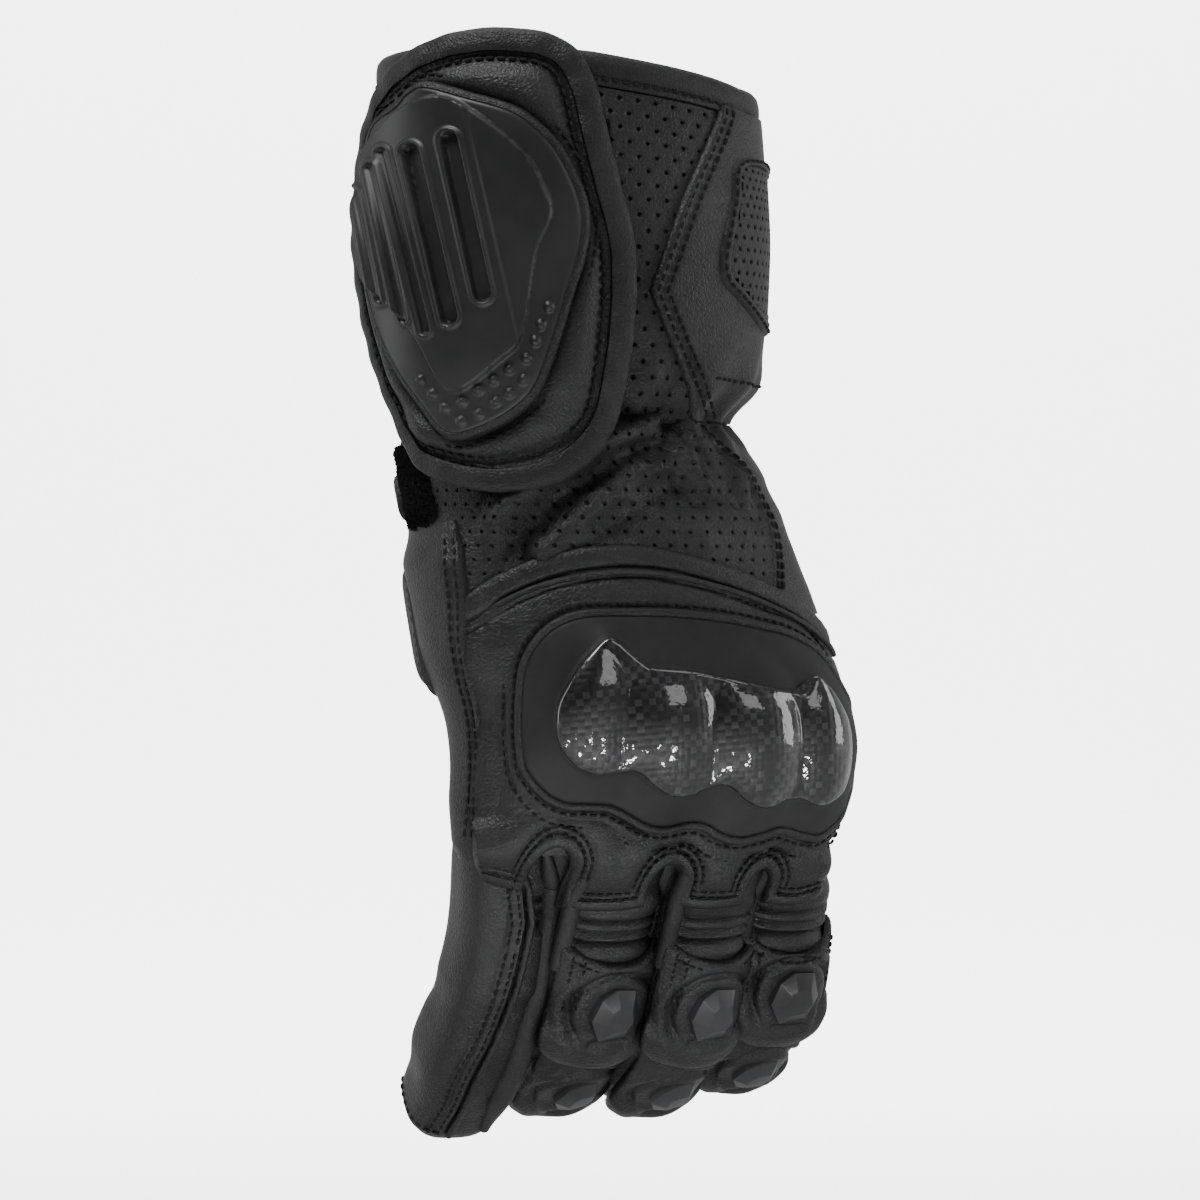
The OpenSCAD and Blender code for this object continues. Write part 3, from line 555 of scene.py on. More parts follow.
# ---- flap
FLAP = curve(np.vstack([found([(-45, -3), (-39, 3), (-33, 6), (-28, 7.6), (-19, 8.8), (-9, 8.3), (-2.8, 6.8),
    (3.5, 2.5), (7.8, -5.8), (10.5, -17), (14, -31), (17.3, -44.5), (17.8, -57), (17, -68.3), (15.5, -78.3),
    (13, -89.5), (8, -98.3), (-0.3, -104.5), (-11.5, -107.3), (-21.5, -107.3), (-31.5, -104.8)], 5.2),
    tz((160, -101.5), (172, -88), (185, -64), (192, -42), (186, -22), (176, -12))]), 300)
SHIELD = curve(np.vstack([found([(-42.8, -11.5), (-39.5, -7.8), (-35.3, -6.2), (-25, -8.8), (-14, -12),
    (-8, -16), (-2.8, -21.3), (1.5, -29), (3.8, -35.5), (4.3, -41.5), (3, -49), (0.8, -55.8), (-3.5, -69.8),
    (-7.8, -81), (-13, -86.5), (-19.8, -90.5), (-27.5, -93), (-31.5, -91.5), (-35.5, -86.5), (-45, -71.8)],
    8.6), tz((168, -56), (173, -38), (166, -21))]), 420)
def flap_top(P):
    d, e = inside(P, FLAP), -inside(P, SHIELD)
    q = arm(P, 6)
    low = step(-P[..., 1], 70, 100)
    folds = noise(A(1.0, 2.2) * P, 17, 11, 4)
    return (5.2 + 2.7 * step(d, 5.2, 13) * (1 - 0.75 * np.exp(-(np.clip(e, 0, 99) / 2.6) ** 2)) + 0.45
        * noise(q, 22, 12) + low * (1.9 * folds) * step(d, 5, 10) - 0.8 * hump(d, 6.9, 1.4))
ride(disk("flap_leather_pad", arm, shrink(FLAP, 3.2), flap_top, even(3.75), rings=64, power=1.15,
    low_rings=8), "flap", "flap_leather")
ROLL = [(5.9, 5.0), (5.7, 6.2), (5.0, 6.55), (3.4, 6.6), (1.5, 6.45), (0.5, 6.0), (0.0, 5.1), (0.3, 4.1),
    (1.2, 3.5), (5.6, 3.5)]
def wavy(off): return off + 0.18 * np.sin(np.arange(len(FLAP)) * 2 * math.pi / len(FLAP) * 31) * (off > 5)
ride(torus("flap_edge_roll", [arm(shrink(FLAP, a), wavy(o)) for a, o in ROLL], mat="matte"), "flap",
    "flap_binding")
band = [(0.35, 8.7), (0.6, 9.3), (0, 9.8), (-0.9, 9.7), (-1.5, 8.9), (-1.7, 7.0), (-1.2, 6.4), (0.6, 6.4)]
ride(torus("shield_piping", [arm(shrink(SHIELD, a), o - 0.9) for a, o in band], mat="matte"), "flap")
PLATE = curve([(-25.2, -10.7), (-10.5, -22.5), (-5.5, -31), (-3.6, -38), (-7.5, -48), (-10.8, -68),
    (-16.5, -74.8), (-28.7, -82.5), (-37, -69.5), (-41, -64), (-50.5, -54.5), (-53, -43), (-52, -26),
    (-44, -14), (-34.5, -8.6)], 200)
SLOTS = [((-38, -22.7), (-28.7, -63.5), 2.1, 1.9), ((-28.7, -19.7), (-20.5, -57.8), 2.1, 1.9), ((-45, -22.7),
    (-34.5, -67), 1.1, 1.1), ((-48, -26.5), (-40, -64), 1.1, 1.1), ((-51.6, -32.5), (-46.3, -59.3), 0.9, 0.9)]
DOTS = [(-4.2, -61.2), (-6.2, -65.7), (-7.5, -69.8), (-9.8, -74.2), (-14, -76.8), (-18, -79.5), (-21.8, -82),
    (-26, -85), (-30.3, -86.5), (-33.5, -83), (-36.5, -79.5), (-10.5, -79.5), (-14, -82.8), (-17.5, -85),
    (-21.8, -88), (-26.3, -89.8)]
def shield_top(P):
    s = seen(arm(P, 9))
    d = inside(P, SHIELD)
    plate = inside(s, PLATE)
    h = 8.3 + 0.7 * edge(d, 1.2) + 1.5 * step(plate, -0.25, 0.45)
    h -= 0.35 * (plate > 0) * step((s[..., 0] + 24.5) * 0.975 - (s[..., 1] + 13.5) * -0.222, -0.3, 0.3) * 1.6
    for a, b, r, deep in SLOTS:
        e = seg_dist(s, A(*a), A(*b))
        h -= deep * (1 - step(e, r - 0.45, r + 0.1)) - 0.55 * hump(e, r + 0.75, 0.75)
    for c in DOTS:
        h += 1.05 * np.sqrt(np.clip(1 - (np.linalg.norm(s - A(*c), axis=-1) / 1.3) ** 2, 0, 1))
    return h
ride(disk("flap_shield_plate", arm, SHIELD, shield_top, even(6.1), rings=110, power=1.0, mat="plate",
    sharp=50), "flap", "flap_shield")
ride(stitches("flap_stitching", hem(arm, SHIELD, (-3.3, 6.9)) + hem(arm, FLAP, (7.6, 6.35))), "flap")
# the leather fold that the flap swings on, sewn to the anchor patch
P = patch(213, 172, 70, -16, -68, 60)
fold = 2.75 + 0.8 * edge(border(P) + 0.05, 1.2) + 0.1 * noise(arm(P), 8, 7)
bend(sheet("flap_fold_leather", arm(P, fold), arm(P, fold - 0.7), mat="matte"), "gauntlet", "flap",
    (-51.5, 17, -42), (-51.5, 8.5, -42))
ride(stitches("flap_fold_stitching", [on(arm, curve(tz((211, -18), (211, -66)), 60, closed=False), 3.6),
    on(arm, curve(tz((206, -17), (206, -67)), 60, closed=False), 3.6)]), "gauntlet")
P = patch(94, 146, 60, -19, -73, 60)
ride(sheet("flap_hook_pile", arm(P, 3.7), arm(P, hooks(P, 2.35, 8)), mat="fuzz"), "flap", "flap_hook_patch")

# ---- wrist and hand skin
FOLDS = [(curve(tz((74, -89), (95, -96), (118, -106), (150, -124)), 40, closed=False), 3.4, 3.4),
    (curve(tz((70, -98), (92, -106), (112, -117), (122, -122)), 40, closed=False), 2.2, 3.0),
    (curve(tz((60, -88), (66, -96), (64, -106)), 30, closed=False), 2.0, 2.6), (curve(tz((30, -90), (42, -97),
    (46, -110)), 30, closed=False), 1.8, 2.8), (curve(tz((200, -96), (240, -100), (290, -97), (330, -101)),
    40, closed=False), 1.0, 3.2)]
def hand_bump(P):
    q = arm(P)
    z = P[..., 1]
    gather = hump(z, -90, 9)
    h = 0.35 * noise(q, 30, 21) + 0.2 * noise(q, 10, 22) + gather * 0.9 * np.sin(P[..., 0] / 2.2 + 1.5
        * np.sin(z / 7))
    soft = step(z, -134, -112)
    h = h + 0.8 * noise(q * A(1, 1, 2), 15, 24) * soft
    right = step(P[..., 0] / K, 36, 58) * step(P[..., 0] / K, 141, 130)
    ridge = 1 - np.abs(noise(q * A(0.7, 0.7, 1.9) + 3 * noise(q, 25, 25)[..., None], 15, 26)) * 1.6
    h = h + 1.5 * np.clip(ridge, 0, 1) ** 2 * soft * right
    for line, amp, w in FOLDS:
        e = line_dist(P, line[::3])
        amp = amp * np.maximum(right, step(P[..., 0] / K, 180, 190))
        h = h + 1.35 * amp * np.exp(-(e / w) ** 2) - 0.6 * amp * np.exp(-((e - 2.1 * w) / w) ** 2)
    return h
def pinch(P):
    t = P[..., 0] / K
    z = P[..., 1]
    return (-3.3 * hump(z, -178, 26) * step(t, 132, 150) * step(t, 222, 205) + 3.2 * step(z, -166, -142)
        * step(-z, 117, 127) * step(t, 134, 154) * step(t, 214, 196) - 3.4 * hump(z, -91, 13) * (step(t, 66,
        40) + step(t, 330, 350)))
def hand_off(P): return hand_bump(P) * step(-P[..., 1], 83, 92) - 5.2 * (1 - step(-P[..., 1], 87,
        96)) + pinch(P)
P = grid(GIRTH, np.linspace(-82, -197, 150))
curl = 2.0 * step(-P[..., 1], 189, 197)
bend(tube("hand_skin", arm(P, hand_off(P) - 0.7 * step(-P[..., 1], 183, 190) - curl),
    arm(P, np.minimum(hand_off(P) - 1.2, -1.9 - curl))), *WRIST, "wrist_gather", "hand_back",
    "ulnar_side_panel", "palm_leather")
P = grid(GIRTH, np.linspace(-100, -191, 60))
ride(tube("hand_liner", arm(P, -2.0), arm(P, -3.0 + 0.2 * noise(arm(P), 14, 3)), mat="lining"), "hand",
    "hand_lining")
bend(perforated("wrist_perforated_back", arm, ((22 * K, 166 * K), (-140, -87.5)), None, 0.9, pitch=(4.0, 3.4),
    hole=0.5, depth=0.7, bulge=hand_off, mat="perf"), *WRIST, "wrist_cover")
# smooth panel on the thumb side of the wrist, seamed to the perforated leather
SIDE = curve(found([(36.5, -90), (39.5, -96), (43.5, -102), (49.5, -110.5), (52.5, -119), (53, -129),
    (52, -138)], 2), 90, closed=False)
P = spread(SIDE, -24 * K, np.linspace(0, 1, 50))
d = SIDE[:, None, 0] - P[..., 0]
h = hand_off(P) + 0.5 + 1.0 * edge(d + 0.05, 0.9) - 0.5 * hump(d, 2.6, 0.7) + 0.35 * noise(arm(P) * A(1, 1,
    1.8), 11, 29)
h = h - 1.2 * (1 - edge(P[..., 0] + 24 * K + 0.03, 3))
bend(sheet("wrist_thumb_panel", arm(P, h), arm(P, h - 1.0)), *WRIST)
bend(stitches("wrist_thumb_panel_stitching", [on(over(arm, hand_off), SIDE - A(k, 0), 1.55) for k in (1.5,
    3.6)]), *WRIST)
# yoke: smooth leather from its bound arch to the finger roots
YOKE_END = -188.0   # where the yoke tucks under the knuckle lobes
ARCH = curve(tz((157, -136), (150, -133.5), (137, -128), (116, -122.5), (92, -121), (68, -125.5),
    (49, -131.5), (33, -137), (15, -142)), 160, closed=False)
ULNAR = curve(found([(-29, -113), (-26.5, -119), (-24.5, -125), (-22.8, -148), (-23.7, -175), (-23.4, -200)],
    2.4), 90, closed=False)
w = np.linspace(0, 1, 110)[:, None, None]
P = ARCH * (1 - w) + xyz(ARCH[:, 0], YOKE_END) * w
arch_line = ARCH[::4]
def yoke_off(P):
    e = line_dist(P, arch_line)
    q = arm(P)
    return (pinch(P) + 0.9 + 1.2 * edge(e + 0.03, 1.0) + 0.5 * hump(e, 2.7, 2.9) - 0.75 * hump(e, 5.6, 0.8)
        - 0.7 * hump(e, 8.0, 0.7) + 0.25 * noise(q, 26, 31) + 0.12 * noise(q * A(1, 1, 2.5), 9, 32) * step(e,
        8, 12) + 0.9 * np.exp(-((e - 14) / 5.0) ** 2))
sink = 2.2 * step(-P[..., 1], 184.2, 188)
ride(sheet("back_yoke_leather", arm(P, yoke_off(P) - sink), arm(P, 0.3 - sink)), "hand", "back_yoke")
below = ARCH[3:-2] - np.array([0, 1.0]) * 6.8
ride(cord("yoke_piping", arm(below, 2.3), 0.75, closed=False, nrm=unit(arm(below, 3) - arm(below, 2)),
    mat="matte"), "hand")
# outer-edge panel
P = spread(ULNAR, 214 * K, np.linspace(0, 1, 46))
d = P[..., 0] - P[:, :1, 0]
ends = step(-P[..., 1], 112.5, 118) * step(P[..., 1], -200.5, -193)
h = pinch(P) + 0.4 - 3.4 * step(-P[..., 1], 181, 200) + ends * (1.6 + 1.3 * edge(d + 0.05, 1.0) - 0.4
    * hump(d, 3.2, 1.2) + 0.4 * noise(arm(P), 24, 41))
ride(sheet("outer_edge_panel", arm(P, h), arm(P, h - 1.1)), "hand")
ride(stitches("outer_edge_stitching", [on(over(arm, pinch), ULNAR[6:-6] + A(k, 0), 3.3) for k in (1.6, 4.7)]),
    "hand")
# fuzzy closure patch and strap
P = patch(160, 232, 120, -96, -119, 56)
d = np.minimum(np.minimum(-96 - P[..., 1], P[..., 1] + 119), P[..., 0] - 160 * K)
ride(sheet("wrist_loop_pile", arm(P, -0.2 + 2.9 * edge(d + 0.1, 3) + fuzzy(P, 0, 9, 0.8)), arm(P, -1.4),
    mat="fuzz"), "hand", "strap_loop_patch")
STRAP_Z, STRAP_HALF, STRAP_TIP = -109, 6, 205 * K   # middle height, half width, girth of the free end
P = patch(205, 321, 120, STRAP_Z + STRAP_HALF, STRAP_Z - STRAP_HALF, 24)
tip = np.clip((P[..., 0] - STRAP_TIP) / 7, 0, 1)
P[..., 1] = STRAP_Z + (P[..., 1] - STRAP_Z) * np.sqrt(np.clip(1 - (1 - tip) ** 2, 0.02, 1))
e = np.minimum(STRAP_HALF - np.abs(P[..., 1] - STRAP_Z), P[..., 0] - STRAP_TIP)
ride(sheet("wrist_strap_leather", arm(P, 4.2 + 1.1 * edge(e + 0.1, 1.2) + 0.15 * noise(arm(P), 12, 51)),
    arm(P, 3.3)), "strap", "wrist_strap")
P = patch(203, 227, 50, -104, -114, 24)
ride(sheet("wrist_strap_hooks", arm(P, 3.25), arm(P, hooks(P, 2.3, 6)), mat="fuzz"), "strap",
    "strap_hook_patch")
P = patch(319, 343, 60, -102.6, -115.4, 30)
t = P[..., 0] / K
d = np.minimum((343 - t) * K, np.minimum(-102.6 - P[..., 1], P[..., 1] + 115.4))
ride(sheet("strap_anchor_patch", arm(P, 1.1 + 1.2 * edge(d + 0.05, 1.0) + 2.2 * step(t, 329, 320) + 0.15
    * noise(arm(P), 9, 52)), arm(P, 0.0)), "hand")
ride(stitches("strap_anchor_stitching", [on(arm, curve(tz((332, -104), (341.5, -104), (341.5, -114),
    (332, -114)), 60, closed=False), 2.35)]), "hand")
long_edge = [curve(tz((211, z), (250, z), (318, z)), 120, closed=False) for z in (-104.6, -113.4)]
ride(stitches("strap_stitching", [on(arm, l, 5.3) for l in long_edge]), "strap")

# ---- knuckle guard
GUARD = curve(found([(-11.7, -165), (-11, -154), (-9, -147.8), (-5, -142.8), (0, -139.8), (6, -138.4),
    (15.3, -138.2), (27.5, -138.4), (39.8, -139.7), (49, -141.5), (56.3, -143.4), (62.5, -147), (66.7, -152),
    (69.8, -157.5), (71.7, -163.6), (72.6, -170), (72.6, -176), (71, -183.3), (69.2, -188.2), (66.7, -191.2),
    (63.7, -193.3), (60, -193), (54, -191.5), (49, -193), (43.5, -194), (39.2, -193), (35.5, -190.8),
    (31.2, -190.2), (25, -191.4), (20.2, -190.8), (15.3, -188), (11, -186), (5.5, -185.6), (0, -185.4),
    (-4.3, -183.5), (-8, -180), (-10.8, -175.2)], 4.5, lo=12), 300)
FIBRE = curve(found([(10.4, -144), (6, -147.8), (3, -151.3), (-0.4, -156.8), (-2.5, -161.8), (-2.5, -169),
    (0, -174), (3.6, -177), (8, -178.3), (12.8, -177.7), (16.5, -177.4), (19, -178.3), (22.6, -181.4),
    (27, -183.8), (31.8, -183.5), (35.5, -181.7), (39.8, -180.8), (42.9, -182.3), (46, -185), (49.6, -186.6),
    (53.3, -186), (56.4, -184.4), (60.6, -184.4), (64.3, -186), (67.4, -185), (70.4, -182), (72, -176.5),
    (72.3, -170.3), (71.4, -164.8), (69.2, -160), (66.2, -155.6), (63.4, -153.5), (60.9, -157.8),
    (57.6, -157.5), (50.8, -156), (39.8, -153.8), (31.2, -152.2), (23.9, -151.6), (21.4, -151.3),
    (17.7, -148.6), (13.5, -145)], 9.5, lo=14), 360)
def slope(P):
    d, e = inside(P, GUARD), -inside(P, FIBRE)
    w = np.clip(d, 0, 99) / (np.clip(d, 0, 99) + np.clip(e, 0.01, 99))
    return 3.4 + 1.1 * edge(d, 1.0) + 3.4 * w ** 1.1 + 0.5 * step(w, 0.93, 1.0)
ride(disk("guard_base_pad", arm, GUARD, slope, even(1.9), rings=90, power=1.0, mat="rubber"), "hand",
    "guard_base", "guard_foam")
DOMES = [((6.0, -163.5), 9.5, 15.5, 3.0), ((26.5, -168.5), 11.5, 15.5, 4.0), ((48.4, -170.8), 11, 16.5, 4.0),
    ((67.0, -171), 6.2, 16, 2.6)]
def fibre_top(P):
    s = seen(arm(P, 11))
    d = inside(P, FIBRE)
    h = 0
    for c, ru, rv, high in DOMES:
        e = ((s[..., 0] - c[0]) / ru) ** 2 + ((s[..., 1] - c[1]) / rv) ** 2
        h = h + (high * np.clip(1.35 - e, 0, 2) / 1.35) ** 3
    return 8.0 + 1.0 * edge(d, 0.9) + h ** (1 / 3) * edge(d, 5.5)
ride(disk("guard_fibre_shell", arm, FIBRE, fibre_top, even(6.8), rings=90, power=1.1, mat="carbon"), "hand",
    "guard_shell")
ride(cord("guard_piping", arm(shrink(GUARD, -0.6), 3.6), 1.15, nrm=unit(arm(GUARD, 4) - arm(GUARD, 3)),
    sides=10, mat="matte"), "hand")
ring2 = [arm(shrink(GUARD, -a), o) for a, o in ((1.4, 1.6), (1.5, 2.6), (2.3, 3.1), (3.6, 3.0), (4.6, 2.5),
    (4.9, 1.4))]
ride(torus("guard_seam_band", ring2, mat="matte"), "hand")
ride(stitches("guard_stitching", hem(arm, GUARD, (-2.7, 3.1), (-5.9, 2.1)), pitch=2.5, length=1.8), "hand")

# ---- fingers
JOINT = {j["name"]: A(*j["pos_m"]) / MM for j in frame["joints"]}
G = 0.21           # mm across the back of a finger per degree
FINGER_ROUND = 2.9
FINGER_DEPTH = 11.5   # half a finger, back to palm
def node_points(n): return np.array([v.co for v in frame["nodes"][n].data.vertices]) / MM
class Finger:
    """A finger's skin: (q across the back from its middle towards the thumb, l down from the knuckle)."""
    def __init__(self, name, turn):
        self.name, self.turn = name, turn
        j = [JOINT[name + k] for k in ("_knuckle", "_bend", "_tip_bend")]
        tip = node_points(name + "_tip")
        way = unit(tip.mean(0) - j[2])
        self.len = [np.linalg.norm(j[1] - j[0]), np.linalg.norm(j[2] - j[1]), ((tip - j[2]) @ way).max()]
        tilt = [math.degrees(math.atan2(d[1], -d[2])) for d in (j[1] - j[0], j[2] - j[1], way)]
        self.end = sum(self.len)
        lo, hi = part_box(name + "_base")
        self.w = (hi[0] - lo[0]) / MM / 2 - (1.2 if name == "little" else 0)
        self.l = np.arange(-20, self.end + 3, 0.25)
        a, b = self.len[0], self.len[0] + self.len[1]
        t = (3 + (tilt[0] - 3) * step(self.l, -13, 2) + (tilt[1] - tilt[0]) * step(self.l, a - 6, a + 6)
            + (tilt[2] - tilt[1]) * step(self.l, b - 6, b + 6))
        self.t = np.radians(t)
        d = xyz(0 * t, np.sin(self.t), -np.cos(self.t)) * 0.25
        c = np.cumsum(d, 0)
        k = np.argmin(abs(self.l))
        self.c = c - c[k] + j[0]
        # keep the line on the three joints: a small shift that grows between them
        for at, target in ((a, j[1]), (b, j[2])):
            k = np.argmin(abs(self.l - at))
            self.c = self.c + (target - self.c[k]) * step(self.l, at - 25, at)[:, None]
        if name == "little":
            self.c[:, 0] += 3.4 - 2.6 * step(self.l, 0, 75) + 1.5 * hump(self.l, 28, 28)
        if name == "index":
            self.c[:, 0] -= 3.2 - 2.8 * step(self.l, 2, 40)
    def __call__(self, P, off=0.0):
        q, l = P[..., 0], P[..., 1]
        th = np.radians(90 - self.turn - q / G)
        a, b = self.len[0], self.len[0] + self.len[1]
        w = self.w * (1 - 0.06 * step(l, a - 8, a + 8) - 0.08 * step(l, b - 8, b + 8)) - 0.5 * hump(l, a,
            7) - 0.4 * hump(l, b, 7)
        dep = FINGER_DEPTH * (1 - 0.06 * step(l, a - 8, a + 8) - 0.09 * step(l, b - 8,
            b + 8)) + 2.5 * step(-l, 0, 11) - 0.6 * hump(l, a, 7)
        end = np.clip((l - (self.end - 9.5)) / 9.5, 0, 0.999)
        r = np.sqrt(1 - end ** 2.2)
        w, dep = w * r, dep * r
        lc = np.clip(l, self.l[0], self.l[-1])
        c = np.stack([np.interp(lc, self.l, self.c[:, k]) for k in range(3)], -1)
        t = np.interp(lc, self.l, self.t)
        cs, sn = np.cos(th), np.sin(th)
        n = rounding(cs, sn, FINGER_ROUND)
        if self.name == "little":
            w = w - (1.1 * step(-l, -40, 0) + 1.3 * hump(l, 28, 28))
        if self.name == "index":
            w = w - 2.6 * step(-l, -8, 9)
        w = w + 0.5
        x, y = (w + off * np.maximum(r, 0.3)) * cs / n, -(dep + off * np.maximum(r, 0.3)) * sn / n
        return c + xyz(x, y * np.cos(t), y * np.sin(t))
FINGERS = {n: Finger(n, t) for n, t in (("little", -10), ("ring", 13), ("middle", 14), ("index", 9))}
LOOP = np.linspace(-180, 180, 97)[:-1] * G
def split(f):
    """A finger's three lengths of skin: (suffix, from, to, parent body, child body, bend start, bend end)."""
    a, b = f.len[0], f.len[0] + f.len[1]
    n = f.name
    at = lambda l: [float(np.interp(l, f.l, f.c[:, k])) for k in range(3)]
    return [("base", -11.0, 0.5 * a, "hand", n + "_proximal", at(-6), at(7)), ("middle", 0.5 * a, a + 0.5
        * f.len[1], n + "_proximal", n + "_middle", at(a - 6), at(a + 6)), ("tip", a + 0.5 * f.len[1], f.end,
        n + "_middle", n + "_distal", at(b - 5), at(b + 5))]
def skin_off(f, P):
    q, l = P[..., 0], P[..., 1]
    a, b = f.len[0], f.len[0] + f.len[1]
    back = step(np.abs(q), 13.5, 10.5)
    ribs = back * step(l, 3.5, 5.5) * step(l, 15.5, 13.5) * (1.9 * np.abs(np.sin(math.pi * (l - 3.2)
        / 3.7)) ** 0.7 - 2.1)
    ribs = ribs - 1.2 * back * hump(l, 14.5, 2.5)
    under = -0.9 * step(-l, -3, 1)
    palm = step(np.abs(q), 20, 28)
    creases = palm * sum(-1.2 * np.exp(-((l - c) / 1.4) ** 2) for c in (a - 3, a + 3, b))
    u = f(P, 0)
    near = hump(l, a, 11) + hump(l, b, 9) + hump(l, 0, 9)
    wr = 0.55 * noise(u * A(0.7, 1.5, 1.5), 8, 61) * np.clip(near, 0, 1)
    seam = -0.55 * np.exp(-((np.abs(q) - 16.5) / 0.7) ** 2) + 0.35 * np.exp(-((np.abs(q) - 15.2) / 0.8) ** 2)
    return ribs + under + creases + wr + 0.3 * noise(u, 16, 62) + seam * step(l, -2, 4)
def side_seams(q, l0, l1): return [xyz(k * q, np.linspace(l0, l1, 60)) for k in (-1, 1)]
for f in FINGERS.values():
    n = f.name
    stood = {"base": (n + "_base", n + "_knuckle_bellows"), "middle": (n + "_middle_joint",
        n + "_bend_gussets"), "tip": (n + "_tip",)}
    for part, l0, l1, pa, ch, s, e in split(f):
        ls = np.arange(l0, l1 + 0.3, 0.55)
        ls[-1] = l1
        if part == "tip":
            ls = np.concatenate([np.arange(l0, f.end - 3, 0.6), f.end - 3 * np.cos(np.linspace(0, math.pi / 2
                * 0.985, 12))])
        P = grid(LOOP, ls)
        off = skin_off(f, P)
        inner = np.minimum(off - 1.0, -1.5)
        ob = tube(f"{n}_{part}_skin", f(P, off), f(P[:-1] if part == "tip" else P, inner[:-1] if part == "tip"
            else inner), cap_low=part == "tip")
        bend(ob, pa, ch, s, e, *stood[part])
        lines = side_seams(18.2, max(l0, 3), l1 - (6 if part == "tip" else 0.5))
        if n != "little" or part != "base":
            bend(stitches(f"{n}_{part}_stitching", [on(f, l, 0.15) for l in lines], pitch=2.4, length=1.7,
                r=0.33), pa, ch, s, e)

# armoured caps and pads
GEM_BASE = [(-7.0, 0.5), (-5.0, -6.0), (-1.2, -8.6), (4.8, -7.4), (7.0, 0.5), (4.2, 7.4), (-3.8, 7.4)]
GEM_TOP = [(-3.1, 0.8), (-2.6, -3.4), (-0.8, -4.6), (2.9, -3.8), (4.0, 0.8), (2.4, 3.2), (-2.0, 3.2)]
def gem(name, f, at, off, size, tall, body, node):
    p, up = (x[0] for x in on(f, A(0, at)[None], off))
    down = unit(f(A(0, at + 2)[None], off)[0] - f(A(0, at - 2)[None], off)[0])
    side_ = np.cross(down, up)
    side_ *= np.sign(side_ @ (f(A(1, at)[None])[0] - f(A(-1, at)[None])[0]))
    V = [p + side_ * x * size + down * y * size + up * h for ring, h in ((GEM_BASE, -2.0), (GEM_BASE, 0.9),
        (GEM_TOP, tall)) for x, y in ring]
    m = len(GEM_BASE)
    bm = bmesh.new()
    vs = [bm.verts.new(tuple(v * MM)) for v in V]
    for r in range(2):
        for j in range(m):
            bm.faces.new((vs[r * m + j], vs[r * m + (j + 1) % m], vs[(r + 1) * m + (j + 1) % m],
                vs[(r + 1) * m + j]))
    bm.faces.new(vs[2 * m:])
    bm.faces.new(vs[:m][::-1])
    bmesh.ops.recalc_face_normals(bm, faces=bm.faces)
    bmesh.ops.bevel(bm, geom=list(bm.edges), offset=0.32 * MM, segments=2, affect="EDGES", profile=0.6)
    me = bpy.data.meshes.new(name)
    bm.to_mesh(me)
    bm.free()
    me.shade_smooth()
    me.set_sharp_from_angle(angle=math.radians(25))
    ride(dress(add_object(name, me), "gem"), body, node)
CAP_HALF, PAD_HALF = 13.4, 12.6   # half widths across the back of the finger
def pad_grid(cols, l0, l1, n):
    """A pad's points between its top and bottom edges, and each point's distance to the nearest edge."""
    P = xyz(cols, l0 + np.linspace(0, 1, n)[:, None] * (l1 - l0))
    return P, np.minimum(np.minimum(P[..., 1] - l0, l1 - P[..., 1]), cols[-1] - np.abs(P[..., 0]))
def pad_shape(P, g, l1, base, lip):
    """A pad's height: a moat round the slider, a notch and a swell under it, and a raised lower lip."""
    q, l = P[..., 0], P[..., 1]
    oval = np.sqrt((q / 8.7) ** 2 + ((l - g + 0.6) / np.where(l < g, 10.6, 11.5)) ** 2)
    h = base + 0.5 * np.exp(-((oval - 1.25) / 0.12) ** 2) - 1.0 * np.exp(-((oval - 1.03)
        / 0.085) ** 2) * step(l, g + 10, g + 5)
    h = h + 0.5 * (1 - step(oval, 0.8, 1.0))
    h = h - 1.7 * np.exp(-(seg_dist(P, A(-3.2, g + 8.3), A(3.2, g + 8.3)) / 0.9) ** 2)
    h = h + 0.5 * hump(q, 0, 5.5) * step(l, g + 8.8, g + 10.5)
    return h + lip * (step(l, l1 - 9, l1 - 4) - 0.35 * step(l, l1 - 2.6, l1 - 0.3))
